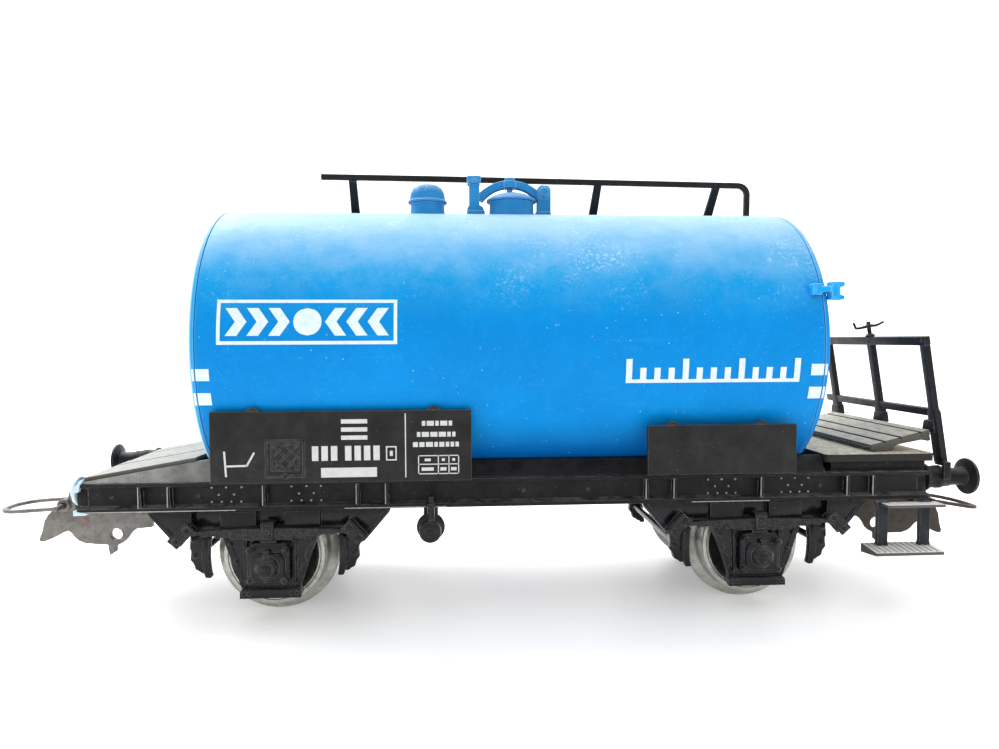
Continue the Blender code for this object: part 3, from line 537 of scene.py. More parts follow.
BLUE = tank_material("tank_blue", (0.0, 0.24, 0.64), (0.0, 0.205, 0.57), (0.03, 0.34, 0.74), 0.48, 0.62)
# A lighter copy of the tank blue for the left cap, with a stronger sheen and the rim highlight: painted
# light.
END_BLUE = tank_material(
    "tank_end_blue", (0.02, 0.36, 0.72), (0.01, 0.32, 0.68), (0.06, 0.42, 0.80), 0.42, 0.9, 1.0
)
BRACKET_BLUE = tank_material(
    "bracket_blue", (0.01, 0.36, 0.76), (0.0, 0.28, 0.68), (0.12, 0.48, 0.84), 0.3, 0.3
)
FITTING_BLUE = tank_material(
    "fitting_blue", (0.03, 0.25, 0.53), (0.015, 0.17, 0.42), (0.08, 0.34, 0.66), 0.3, 0.3, 0.0,
    (0.01, 0.19, 0.46),
)

BLACK = black_material("frame_black", (0.0075, 0.0075, 0.0078), (0.42, 0.58), 0.5, 0.62)
DUSTY = black_material("frame_dusty", (0.012, 0.012, 0.0115), (0.5, 0.66), 0.9, 0.6, DUST)
# A lighter copy of the black for the slope's sides: dust, and painted light where the window falls on them.
RAMP_DUST_AND_LIGHT = black_material("ramp_dusty_and_lit", (0.15, 0.148, 0.14), (0.55, 0.7), 0.9, 0.6, DUST)
BOARD = black_material("board_black", (0.0145, 0.015, 0.0145), (0.42, 0.56), 0.35, 0.32)
GEAR = black_material("gear_black", (0.004, 0.0045, 0.006), (0.20, 0.34), 0.22, 0.34, coat=0.2)
SADDLE = black_material("saddle_black", (0.0035, 0.0035, 0.004), (0.5, 0.62), 0.10, 0.25)
RAIL = black_material("rail_black", (0.010, 0.010, 0.0115), (0.36, 0.5), 0.3, 0.4)
STEP = black_material("step_straps", (0.018, 0.022, 0.026), (0.40, 0.55), 0.6, 0.6, (0.42, 0.41, 0.39))

FLOOR = plank_material(
    "floor_dusty", (0.66, 0.62, 0.50), (0.38, 0.33, 0.22), (1, 0.3, 1), (0.008, 0.008, 0.0075)
)
DECK = plank_material("deck_planks", (0.41, 0.40, 0.365), (0.27, 0.26, 0.225), (0.18, 1, 1))
PLATFORM = plank_material("platform_planks", (0.52, 0.48, 0.40), (0.34, 0.31, 0.25), (1, 0.18, 1))
# The treads' pale tops are partly dust and partly a painted sheen; their sides stay dark.
TREAD_DUST_AND_SHEEN = plank_material("tread_dust_and_sheen", (0.90, 0.89, 0.85), (0.72, 0.71, 0.67), (1, 0.3, 1))

# Light grey for the edge strips and rivets: partly abrasion, partly painted highlight.
WORN_AND_HIGHLIT = metal_material("worn_and_highlit_plastic", (0.34, 0.34, 0.34), (0.04, 0.04, 0.04), (0.4, 0.55), 0.0, 0.6)
WHEEL = metal_material("wheel_metal", (0.50, 0.50, 0.46), (0.20, 0.19, 0.13), (0.34, 0.52), 0.85, 0.5)
STEEL = metal_material(
    "coupling_steel", (0.20, 0.19, 0.178), (0.10, 0.075, 0.055), (0.36, 0.55), 0.7, 0.5, (1, 1, 0.3)
)
# A darker copy of the coupling steel for the right coupling: painted shade.
SHADED_STEEL = metal_material(
    "coupling_steel_shaded", (0.050, 0.037, 0.025), (0.025, 0.017, 0.011), (0.45, 0.65), 0.3, 0.5, (1, 1, 0.3)
)
IRON = metal_material("ballast_iron", (0.20, 0.20, 0.20), (0.12, 0.07, 0.04), (0.5, 0.7), 0.7, 0.5)

WHITE_ON_BLUE = print_material("print_on_tank", (0.66, 0.78, 0.84), (0.10, 0.35, 0.75))
WHITE_ON_BLACK = print_material("print_on_board", (0.58, 0.59, 0.58), (0.05, 0.05, 0.05))
# Pale bluish colour for the buffer stub and the corner patches.
PALE_BLUISH = print_material("pale_bluish_patch", (0.52, 0.68, 0.76), (0.20, 0.26, 0.30))
SMEAR = print_material("reddish_smear", (0.24, 0.09, 0.08), (0.15, 0.12, 0.11))

# ---------------------------------------------------------------- tank


def tank_barrel():
    """A hollow barrel with a fine lip at each seam."""
    low, high = TANK_X
    lip = [(TANK_R - 0.10, low), (TANK_R - 0.03, low + 0.03), (TANK_R, low + 0.10)]
    outside = lip + [(TANK_R, low + (high - low) * k / 24) for k in range(1, 24)]
    outside += [(r, high - (x - low)) for r, x in reversed(lip)]
    inside = [(BARREL_BORE_R, high), (BARREL_BORE_R, low)]
    shape = turned(outside + inside, (0, 0, TANK_Z), ALONG, TANK_STEPS, closed=True)
    piece("tank_barrel", [shape], BLUE, nodes=["tank_shell"])


def tank_end(side_name, seam_x, way):
    """A pressed end: a short skirt, a tight knuckle and a shallow dished middle."""
    dish = [
        (0, 2.18), (1.8, 2.17), (3.6, 2.11), (5.4, 2.02), (7.0, 1.9), (8.6, 1.75), (10.2, 1.57),
        (11.6, 1.4),
    ]
    knuckle = [
        (12.8, 1.22), (13.8, 1.04), (14.5, 0.88), (14.95, 0.74), (15.22, 0.62), (15.38, 0.48),
        (15.44, 0.34),
    ]
    skirt = [(TANK_R, 0.2), (TANK_R, 0.1), (TANK_R - 0.05, 0.06), (TANK_R - 0.16, 0.05)]
    inside = [(14.42, 0.05), (14.42, -2.0), (13.4, -2.0), (13.4, 0.1), (0, 1.0)]
    shape = turned(dish + knuckle + skirt + inside, (seam_x, 0, TANK_Z), (way, 0, 0), TANK_STEPS)
    name = f"tank_end_{side_name}"
    piece(
        f"{name}_cap", [shape], END_BLUE if way < 0 else BLUE, nodes=[name], angle=30
    )


def tank_point(x, rise):
    """A point just off the near side of the tank; rise is measured round it from its middle height."""
    angle = rise / TANK_R
    radius = TANK_R + PRINT_LIFT
    return (x, -radius * math.cos(angle), TANK_Z + radius * math.sin(angle))


def tank_print(name, figures):
    """Figures are (lowest rise, highest rise, spans), where spans(rise) gives (x low, x high) pairs."""
    shape = bmesh.new()
    for low, high, spans in figures:
        rows = max(2, math.ceil((high - low) / PRINT_STEP))
        for row in range(rows):
            below, above = (low + (high - low) * (row + k) / rows for k in (0, 1))
            for (a0, a1), (b0, b1) in zip(spans(below), spans(above)):
                corners = ((a0, below), (a1, below), (b1, above), (b0, above))
                shape.faces.new([shape.verts.new(tank_point(x, rise)) for x, rise in corners])
    bmesh.ops.remove_doubles(shape, verts=shape.verts[:], dist=0.001)
    piece(name, [shape], WHITE_ON_BLUE)


def block(x0, x1, low, high):
    """An upright bar."""
    return (low, high, lambda rise: [(x0, x1)])


def slanted(x0, x1, low, high, lean):
    """A bar whose top is moved along by lean."""

    def spans(rise):
        along = lean * (rise - low) / (high - low)
        return [(x0 + along, x1 + along)]

    return (low, high, spans)


def disc(x, rise, radius):
    """A round spot."""

    def spans(at):
        half = math.sqrt(max(radius**2 - (at - rise) ** 2, 0.0001))
        return [(x - half, x + half)]

    return (rise - radius, rise + radius, spans)


def tank_markings():
    """A framed panel of slanted bars about a disc, a level scale, and the short bars at the tank's ends."""
    left, right, low, high = -29.4, -12.15, 0.42, 4.85
    edge = 0.34
    figures = [
        block(left, right, low, low + edge),
        block(left, right, high - edge, high),
        block(left, left + edge, low + edge, high - edge),
        block(right - edge, right, low + edge, high - edge),
    ]
    middle = (low + high) / 2
    for index in range(3):
        x = left + 1.35 + index * 2.05
        for way, base in ((1, x), (-1, left + right - x)):
            lean = way * 0.95
            figures.append(slanted(base - 0.55, base + 0.55, low + 0.85, middle, lean))
            figures.append(slanted(base - 0.55 + lean, base + 0.55 + lean, middle, high - 0.85, -lean))
    figures.append(disc((left + right) / 2, middle, 1.35))
    tank_print("tank_panel_marks", figures)

    left, right, base = 10.5, 28.4, -3.6
    figures = [block(left, right, base, base + 0.36)]
    for index in range(13):
        x = left + (right - left - 0.62) * index / 12
        tall = 2.45 if index % 4 == 0 else 1.55
        figures.append(block(x, x + 0.62, base + 0.36, base + tall))
    tank_print("tank_scale_marks", figures)

    left, right = TANK_X
    for name, left_span, right_span in (
        ("tank_end_marks", (left + 0.02, -30.2), (29.55, right - 0.02)),
        ("tank_cap_marks", (left - 0.34, left - 0.12), (right + 0.12, right + 0.34)),
    ):
        figures = []
        for low, high in ((-3.08, -1.90), (-5.58, -4.30)):
            figures.append(block(*left_span, low, high))
            figures.append(block(*right_span, low + 0.15, high + 0.15))
        tank_print(name, figures)


def valve_dome():
    """The small stepped cap beside the manhole."""
    profile = [
        (0, 43.0), (2.16, 43.0), (2.10, 43.75), (2.0, 44.0), (1.98, 44.85), (2.02, 44.95), (2.24, 45.02),
        (2.29, 45.10), (2.29, 45.24), (2.22, 45.32), (2.06, 45.37), (2.05, 45.75), (1.99, 46.1),
        (1.84, 46.5), (1.58, 46.84), (1.2, 47.08), (0.75, 47.2), (0.35, 47.24), (0, 47.25),
    ]
    piece("valve_dome_cap", [turned(profile, (-9.6, 0, 0), UP, 64)], FITTING_BLUE, nodes=["valve_dome"])


def manhole():
    """The lid, the yoke that clamps it (a hinge post, a clamp block and a bow) and the yoke's screw."""
    lid = [
        (0, 43.0), (2.82, 43.0), (2.72, 43.8), (2.62, 44.0), (2.60, 45.05), (2.66, 45.15), (2.92, 45.22),
        (2.97, 45.30), (2.97, 45.44), (2.90, 45.52), (2.70, 45.56), (2.62, 45.66), (2.3, 45.88),
        (1.8, 46.08), (1.3, 46.18), (0.95, 46.22), (0.9, 46.32), (0.55, 46.35), (0, 46.35),
    ]
    piece("manhole_lid_cover", [turned(lid, (0.3, 0, 0), UP, 72)], FITTING_BLUE, nodes=["manhole_lid"])

    shapes = []
    post = [
        (-4.95, 43.75), (-2.95, 43.75), (-2.95, 44.25), (-3.15, 44.65), (-3.5, 44.8), (-3.5, 47.5),
        (-3.3, 47.75), (-3.3, 48.2), (-4.98, 48.2), (-4.98, 47.75), (-4.72, 47.5), (-4.72, 44.8),
        (-4.95, 44.5),
    ]
    shapes.append(prism(post, "Y", -0.75, 0.75, 0.09))
    for y in (-0.95, 0.95):
        shapes.append(box((-4.9, -3.4), (y - 0.18, y + 0.18), (47.35, 48.15), 0.08))
    shapes.append(rod((-4.1, -1.25, 47.5), (-4.1, 1.25, 47.5), 0.3, 14))
    shapes.append(box((-5.0, -2.9), (-1.15, 1.15), (43.4, 44.15), 0.12))
    clamp = [(3.35, 43.75), (4.9, 43.75), (4.9, 46.75), (4.6, 47.15), (3.75, 47.2), (3.35, 46.9)]
    shapes.append(prism(clamp, "Y", -0.85, 0.85, 0.12, 3))
    shapes.append(box((3.1, 4.9), (-1.1, 1.1), (43.4, 44.05), 0.1))
    shapes.append(rod((4.1, -1.35, 46.3), (4.1, 1.35, 46.3), 0.55, 24))
    shapes.append(rod((4.1, -1.0, 46.3), (4.1, 1.0, 46.3), 0.72, 24))
    bow = [(x, 0, z) for x, z in arc((0.15, 42.75), 4.6, 37, 143, 22)]
    shapes.append(sweep(bow, rounded(1.0, 0.8, 0.22), ACROSS))
    nut = [(0, 46.8), (0.62, 46.8), (0.78, 46.95), (0.78, 47.68), (0.68, 47.76), (0, 47.76)]
    shapes.append(turned(nut, (0.1, 0, 0), UP, 28))
    piece("manhole_yoke_bow", shapes, FITTING_BLUE, nodes=["manhole_yoke"])

    screw = [(0, 46.35), (0.36, 46.35)]
    for index in range(5):
        z = 46.42 + index * 0.09
        screw += [(0.30, z), (0.36, z + 0.045)]
    screw += [
        (0.34, 46.9), (0.34, 47.78), (0.58, 47.8), (0.63, 47.86), (0.63, 48.02), (0.56, 48.1), (0, 48.14)
    ]
    piece("manhole_screw_head", [turned(screw, (0.1, 0, 0), UP, 28)], FITTING_BLUE, nodes=["manhole_screw"])


def lamp_bracket():
    """A stub with a C-shaped hook on the tank's near side, at the right."""
    hook = [
        (31.55, 32.95), (32.95, 32.95), (32.95, 33.35), (32.5, 33.45), (32.5, 34.2), (32.95, 34.3),
        (32.95, 34.75), (31.55, 34.75),
    ]
    shapes = [rod((29.9, -14.85, 34.0), (31.9, -14.75, 33.95), 0.42, 18)]
    shapes.append(box((29.7, 30.7), (-15.15, -13.9), (33.4, 34.6), 0.15))
    shapes.append(prism(hook, "Y", -15.28, -14.2, 0.09))
    shapes.append(box((31.7, 32.3), (-15.3, -15.0), (33.2, 34.5), 0.08))
    piece("lamp_bracket_hook", shapes, BRACKET_BLUE, nodes=["lamp_bracket"])


# ---------------------------------------------------------------- walkway, railing and ladder


def top_railing():
    """The handrail, which turns down at its right end, on three leaning posts with screwed feet."""
    y, z = 6.0, 49.05
    path = [
        (-22.95, y, z + 0.3), (-10, y, z + 0.2), (5, y, z + 0.02), (20, y, z - 0.16), (30.0, y, z - 0.29),
    ]
    corner = arc((30.15, z - 1.5), 1.2, 88, 3, 8)
    path += [(px, y, pz) for px, pz in corner] + [(31.34, y, 46.5), (31.3, y, 43.95)]
    shapes = [sweep(path, rounded(0.70, 0.74, 0.18), ACROSS)]
    for x in (-19.1, 11.9, 27.4):
        top = Vector((x, y, z - 0.1))
        foot = Vector((x - 0.1, 10.35, 44.05))
        post = [top, top.lerp(foot, 0.5), foot]
        shapes.append(sweep(post, rounded(1.05, 0.62, 0.14), (0, 0.76, 0.65), [0.92, 1.0, 1.12]))
        shapes.append(box((x - 0.85, x + 0.7), (9.55, 11.2), (43.86, 44.16), 0.06))
        for dy in (9.8, 10.95):
            shapes.append(dome((x + 0.45, dy, 44.16), UP, 0.16, 0.12))
    shapes.append(box((30.8, 31.65), (y - 0.35, 10.6), (43.86, 44.3), 0.06))
    piece("top_railing_bars", shapes, RAIL, nodes=["top_railing"])


def top_walkway():
    """Four planks on a carrier, on three brackets that stand on the tank's far shoulder."""
    shapes = []
    for index in range(4):
        low = 7.62 + index * 1.16
        lift = draw.uniform(-0.03, 0.03)
        start = -24.0 + draw.uniform(0, 0.12)
        shapes.append(box((start, 31.5), (low, low + 1.02), (43.25 + lift, 43.76 + lift), 0.07))
    shapes.append(box((-23.8, 31.3), (8.1, 11.8), (43.02, 43.3), 0.05))
    for x in (-19.5, 3.0, 27.0):
        web = [(7.75, 43.3), (12.0, 43.3), (12.5, 41.2), (12.55, 37.8), (12.15, 37.9), (9.5, 40.8)]
        shapes.append(prism(web, "X", x - 0.45, x + 0.45, 0.06))
        shapes.append(bar((x, 12.2, 42.8), (x, 12.45, 38.2), 0.5, 1.3, ALONG))
    piece("walkway_planks", shapes, RAIL, nodes=["top_walkway"])


def ladder():
    """Two stiles on the far side, bent in over the tank to the walkway, and ten rungs."""
    middle, out = -4.0, 15.92
    shapes = []
    for x in (middle - 1.9, middle + 1.9):
        rail = [
            (x, 11.95, 14.4), (x, 13.9, 15.6), (x, out - 0.1, 17.2), (x, out, 18.2), (x, out, 24.0),
            (x, out, 30.0), (x, out - 0.1, 31.0), (x, 12.75, 43.9), (x, 12.6, 44.5),
        ]
        shapes.append(sweep(rail, rounded(0.5, 0.58, 0.12), ALONG))
        shapes.append(dome((x, out + 0.2, 29.0), ACROSS, 0.16, 0.1))
    for step in range(10):
        z = 18.0 + step * 2.6
        y = out if z < 30.2 else out - (z - 30.2) * (out - 12.55) / 14.4
        shapes.append(rod((middle - 2.05, y, z), (middle + 2.05, y, z), 0.22, 14, 0.04))
    piece("ladder_rungs", shapes, RAIL, nodes=["ladder"])


# ---------------------------------------------------------------- underframe


def sole_bar(side, rubbed_and_highlit):
    """One channel bar with its ribs and rivets; the light edge strips and rivets, partly abrasion and
    partly painted highlight, go to rubbed.
    """
    shapes = []
    section = [
        (10.45, 11.6), (11.7, 11.6), (11.75, 11.68), (11.75, 11.98), (11.68, 12.06), (11.12, 12.14),
        (11.0, 12.3), (11.0, 14.0), (11.12, 14.12), (11.68, 14.2), (11.75, 14.28), (11.75, 14.52),
        (11.7, 14.6), (10.45, 14.6),
    ]
    shapes.append(prism(flipped(section, side), "X", -44.7, 44.7, 0.03))
    for start, end in ((-44.3, -29.0), (-18.0, -7.5), (18.5, 27.0)):
        rubbed_and_highlit.append(box((start, end), (side * 11.72, side * 11.77), (11.66, 11.76), 0.02))
    for x in (13.7, 16.7, 26.2, 35.7, 38.6):
        for end in (-x, x):
            rib = [(end - 0.22, 11.95), (end + 0.22, 11.95), (end + 0.14, 14.35), (end - 0.14, 14.35)]
            shapes.append(prism(rib, "Y", side * 10.9, side * 11.66, 0.06))
            rubbed_and_highlit.append(box((end - 0.16, end - 0.06), (side * 11.63, side * 11.68), (12.1, 14.2), 0.02))
    for centre in (30.1, 22.0):
        for end in (-centre, centre):
            rows = ((12.45, (-1.5, -0.5, 0.5, 1.5)), (13.2, (-0.75, 0.75)), (13.95, (-1.5, 0.0, 1.5)))
            for z, offsets in rows:
                for offset in offsets:
                    spot = (end + offset + draw.uniform(-0.03, 0.03), side * 11.0, z)
                    rubbed_and_highlit.append(dome(spot, (0, side, 0), 0.125, 0.11, 12))
    for end in (-41.6, -33.0, 7.5, 0.6, 33.0):
        shapes.append(dome((end, side * 11.0, 13.1), (0, side, 0), 0.12, 0.06, 10))
    return shapes


def underframe():
    """The two sole bars, the headstocks, the floor web round the wheels and the two coupling sockets."""
    rubbed_and_highlit = []
    shapes = sole_bar(-1, rubbed_and_highlit) + sole_bar(1, rubbed_and_highlit)
    # The light strips and rivets are partly abrasion and partly painted highlight.
    piece("rubbed_and_highlit_edges", rubbed_and_highlit, WORN_AND_HIGHLIT)
    for end in (-1, 1):
        head = [(43.9, 11.4), (44.9, 11.4), (44.95, 11.5), (44.92, 14.45), (44.85, 14.55), (43.9, 14.55)]
        shapes.append(prism(flipped(head, end), "Y", -11.02, 11.02, 0.06))
        shapes.append(box((end * 44.85, end * 45.0), (-2.6, 2.6), (11.9, 13.9), 0.05))
        for y in (-7.4, -5.2, 5.2, 7.4):
            for z in (12.2, 13.8):
                shapes.append(dome((end * 44.93, y, z), (end, 0, 0), 0.2, 0.1))
        for side in (-1, 1):
            shapes.append(box((end * 44.85, end * 44.98), (side * 8.6, side * 10.95), (11.95, 14.3), 0.05))
    for x in ((-44.2, -32.6), (-18.6, -5.0), (5.0, 18.6), (32.6, 44.2)):
        shapes.append(box(x, (-10.7, 10.7), (11.78, 12.4), 0.04))
    for x in ((-32.7, -18.5), (18.5, 32.7)):
        shapes.append(box(x, (-6.7, 6.7), (11.78, 12.4), 0.04))
        for side in (-1, 1):
            shapes.append(box(x, (side * 10.3, side * 10.7), (11.78, 12.4), 0.04))
    for side in (-1, 1):
        shapes.append(box((-5.1, 5.1), (side * 5.0, side * 10.7), (11.78, 12.4), 0.04))
        shapes.append(box((-43.0, 43.0), (side * 2.9, side * 3.3), (11.3, 11.85), 0.05))
    for end in (-1, 1):
        ring = [(0.64, 11.02), (1.2, 11.02), (2.1, 11.1), (2.25, 11.3), (2.25, 11.9), (0.64, 11.9)]
        shapes.append(turned(ring, (end * PIVOT_X, 0, 0), UP, 40, closed=True))
    piece("frame_bars", shapes, BLACK, nodes=["underframe"])


def cradle():
    """Saddle walls whose flanks lean in to meet the tank."""
    shapes = []
    inner = [point for point in arc((0, TANK_Z), 15.6, -61.5, -49.6, 8) if point[1] >= 14.66]
    outline = [(11.55, 14.66), (10.32, 16.34)] + inner[::-1] + [(7.9, 14.66)]
    for side in (-1, 1):
        shapes.append(prism(flipped(outline, side), "X", -34.45, 33.2, 0.04))
    for x in ((-36.0, -34.0), (32.95, 34.1)):
        shapes.append(box(x, (-10.2, 10.2), (12.46, 14.85)))
    web = [(3.0, 12.46), (10.2, 12.46), (10.2, 15.2), (8.6, 15.1), (7.0, 14.2), (5.0, 13.35), (3.0, 12.85)]
    for x in (-12.0, 12.0):
        for side in (-1, 1):
            shapes.append(prism(flipped(web, side), "X", x - 2.0, x + 2.0))
    piece("cradle_walls", shapes, SADDLE, nodes=["cradle"])


def ramp_point(x, drop=0.0):
    """A point on the sloping top of the left end's planks, or below it."""
    return (x, RAMP_FOOT[1] + (x - RAMP_FOOT[0]) * RAMP_SLOPE - drop)


def ramp_flank(side):
    """One leaning side wall of the slope."""
    corners = [
        (-44.0, 11.68, 14.64), (-30.6, 11.68, 14.64), (-30.6, 10.98, 16.95),
        (-32.9, 10.93, ramp_point(-32.9, 0.4)[1]), (-44.3, 11.3, ramp_point(-44.3, 0.4)[1]),
    ]
    shape = bmesh.new()
    outer = [shape.verts.new((x, side * y, z)) for x, y, z in corners]
    inner = [shape.verts.new((x, side * 10.5, z)) for x, y, z in corners]
    shape.faces.new(outer)
    shape.faces.new(inner)
    for index in range(len(corners)):
        after = (index + 1) % len(corners)
        shape.faces.new((outer[index], outer[after], inner[after], inner[index]))
    bmesh.ops.recalc_face_normals(shape, faces=shape.faces[:])
    return soften(shape, 0.03)


def left_end():
    """The slope's body and flanks, and the eight planks on it."""
    low, high = -42.85, -34.6
    core = [(low, 14.9), (high, 14.9), ramp_point(high, 0.44), ramp_point(low, 0.44)]
    shapes = [prism(core, "Y", -10.7, 10.7, 0.03), ramp_flank(-1), ramp_flank(1)]
    # The slope's sides take the lighter black: dust and painted light.
    piece("ramp_sides", shapes, RAMP_DUST_AND_LIGHT, nodes=["left_ramp"])

    shapes = []
    edges = [-10.95, -9, -6, -3, 0, 3, 6, 9, 10.95]
    for near, far in zip(edges, edges[1:]):
        lift = draw.uniform(-0.035, 0.02)
        start = -44.68 + draw.uniform(0.0, 0.12)
        plank = [
            ramp_point(start, 0.38 - lift), ramp_point(start, -lift), ramp_point(DECK_HIGH_X, -lift),
            ramp_point(DECK_HIGH_X, 0.38 - lift),
        ]
        shapes.append(prism(plank, "Y", near + 0.07, far - 0.07, 0.05))
    base = [ramp_point(-44.5, 0.39), ramp_point(-44.5, 0.2), ramp_point(high, 0.2), ramp_point(high, 0.39)]
    shapes.append(prism(base, "Y", -10.85, 10.85, 0.02))
    piece("deck_boards", shapes, DECK, nodes=["left_deck"])


def right_floor():
    """The dusty floor plate, with four screws, on its support."""
    outline = [(33.4, -11.0), (33.7, -11.3), (45.35, -11.3), (45.6, -11.05)]
    outline += [(x, -y) for x, y in outline[::-1]]
    shapes = [prism(outline, "Z", 15.62, 16.5, 0.09, 3)]
    support = [box((34.2, 44.8), (-10.9, 10.9), (14.62, 15.65), 0.06)]
    for side in (-1, 1):
        for x in (35.0, 44.6):
            shapes.append(dome((x, side * 10.6, 16.5), UP, 0.2, 0.1))
    piece("floor_plate", shapes, FLOOR, nodes=["right_floor"])
    piece("floor_support", support, BLACK)


def brakeman_platform():
    """Four planks of different widths on a board and two bearers, tilted as one."""
    place = tilted((38.9, 0, 17.3), -PLATFORM_TILT)
    length = 6.95 / math.cos(PLATFORM_TILT)
    shapes = []
    starts = [0.0, 1.72, 3.6, 5.95, length]
    for a, b in zip(starts, starts[1:]):
        lift = draw.uniform(-0.03, 0.03)
        y0 = -10.2 + draw.uniform(0, 0.12)
        y1 = 10.2 - draw.uniform(0, 0.12)
        shapes.append(moved(box((a + 0.13, b - 0.13), (y0, y1), (-0.58, lift), 0.08), place))
    shapes.append(moved(box((0.1, length - 0.1), (-10.0, 10.0), (-0.6, -0.3), 0.03), place))
    for side in (-1, 1):
        bearer = [
            (0.1, -0.3), (length - 0.15, -0.3), (length - 0.15, -1.2), (length - 0.45, -1.25),
            (length - 1.2, -0.92), (3.1, -0.78), (2.4, -1.32), (1.8, -0.95), (0.6, -0.86), (0.1, -0.78),
        ]
        shapes.append(moved(prism(bearer, "Y", side * 9.35, side * 10.05, 0.05), place))
    piece("platform_boards", shapes, PLATFORM, nodes=["brakeman_platform"])


def end_railing():
    """Two cross bars on posts with clipped feet, all tilted, and the brake spindle at the same tilt."""
    place = tilted((47.15, 0, 15.0), -RAILING_TILT)
    shapes = [box((-0.36, 0.36), (-10.75, 10.95), (13.42, 14.4), 0.09)]
    shapes.append(box((-0.30, 0.30), (-10.75, 12.25), (5.48, 6.32), 0.08))
    for y, foot in ((-10.2, 0.0), (0.0, 2.6), (10.1, 0.0)):
        post = [
            (y - 0.5, 13.9), (y + 0.5, 13.9), (y + 0.5, 6.4), (y + 0.75, 5.9), (y + 0.75, foot + 0.4),
            (y + 0.6, foot), (y - 0.6, foot), (y - 0.75, foot + 0.4), (y - 0.75, 5.9), (y - 0.5, 6.4),
        ]
        shapes.append(prism(post, "X", -0.33, 0.33, 0.09, 3))
    for y in (-9.6, 0.0, 10.1):
        gusset = [(y - 0.8, 5.0), (y + 0.8, 5.0), (y + 1.35, 3.8), (y + 1.3, 3.7), (y - 0.8, 3.7)]
        shapes.append(prism(gusset, "X", -0.42, 0.42, 0.06))
    for y in (-10.25, 0.0, 10.1):
        for way in (-1, 1):
            shapes.append(dome((way * 0.36, y, 13.9), (way, 0, 0), 0.18, 0.1))
    shapes = [moved(shape, place) for shape in shapes]
    for side in (-1, 1):
        leg = [(46.35, 13.65), (47.15, 13.65), (47.15, 15.55), (46.35, 15.55)]
        shapes.append(prism(leg, "Y", side * 11.42, side * 11.83, 0.08))
        shapes.append(box((46.8, 47.15), (side * 10.2, side * 11.8), (15.1, 15.55), 0.08))
    piece("end_railing_bars", shapes, RAIL, nodes=["end_railing"])

    shapes = [rod((0, 0, 14.42), (0, 0, 16.3), 0.24, 18, 0.08)]
    collar = [(0, 14.42), (0.55, 14.42), (0.55, 14.6), (0.36, 14.78), (0, 14.78)]
    shapes.append(turned(collar, (0, 0, 0), UP, 20))
    shapes.append(rod((0, 0, 15.5), (0, 0, 15.98), 0.36, 18, 0.1))
    wave = [
        (-1.75, 0, 15.72), (-1.2, 0, 15.66), (-0.5, 0, 15.7), (0.4, 0, 15.72), (0.9, 0, 15.66),
        (1.4, 0, 15.78), (1.95, 0, 15.95),
    ]
    shapes.append(sweep(wave, rounded(0.3, 0.3, 0.1), ACROSS, [0.9, 1, 1.15, 1.15, 1, 0.9, 0.8]))
    shapes.append(rod((-1.66, 0, 15.68), (-1.88, 0, 16.46), 0.14, 12))
    shapes = [moved(shape, place) for shape in shapes]
    piece("brake_crank", shapes, RAIL, nodes=["brake_spindle"])


# ---------------------------------------------------------------- running gear


def wheelset(end_name, x):
    """Two flanged wheels with a dark web each, and their pointed axle."""
    centre = (x, 0, AXLE_Z)
    body = f"wheelset_{end_name}"
    for side_name, way in SIDES:
        profile = [
            (0.8, 6.92), (1.55, 6.92), (1.68, 7.0), (1.7, 7.3), (4.3, 7.4), (4.6, 7.2), (4.75, 7.15),
            (6.2, 7.15), (6.42, 7.25), (6.5, 7.45), (6.44, 7.66), (6.25, 7.82), (5.7, 7.92), (5.48, 8.06),
            (5.4, 8.3), (5.34, 9.0), (5.28, 9.8), (5.2, 9.92), (5.08, 9.95), (4.86, 9.94), (4.80, 9.82),
            (4.74, 9.94), (4.6, 9.93), (4.5, 9.8), (4.42, 9.35), (4.25, 9.10), (1.85, 9.05), (1.66, 9.05),
            (1.6, 9.05), (1.5, 9.05), (0.8, 9.05),
        ]
        name = f"{end_name}_{side_name}"
        disc_shape = turned(profile, centre, (0, way, 0), 96, closed=True)
        piece(f"wheel_disc_{name}", [disc_shape], WHEEL, body, [f"wheel_{name}"])
        web = [
            (0.8, 9.0), (4.36, 9.0), (4.38, 9.2), (4.3, 9.28), (3.9, 9.2), (2.2, 9.16), (1.8, 9.22),
            (1.66, 9.4), (1.62, 9.85), (1.52, 9.98), (0.8, 9.98),
        ]
        piece(f"wheel_web_{name}", [turned(web, centre, (0, way, 0), 72, closed=True)], DUSTY, body)
    half = [
        (0, 11.84), (0.12, 11.8), (0.46, 11.25), (0.5, 11.15), (0.5, 10.3), (0.7, 10.22), (0.75, 10.15),
        (0.75, 3.0), (0.66, 2.8),
    ]
    profile = half + [(r, -a) for r, a in reversed(half)]
    piece(f"axle_bar_{end_name}", [turned(profile, centre, ACROSS, 40)], STEEL, body, [f"axle_{end_name}"])


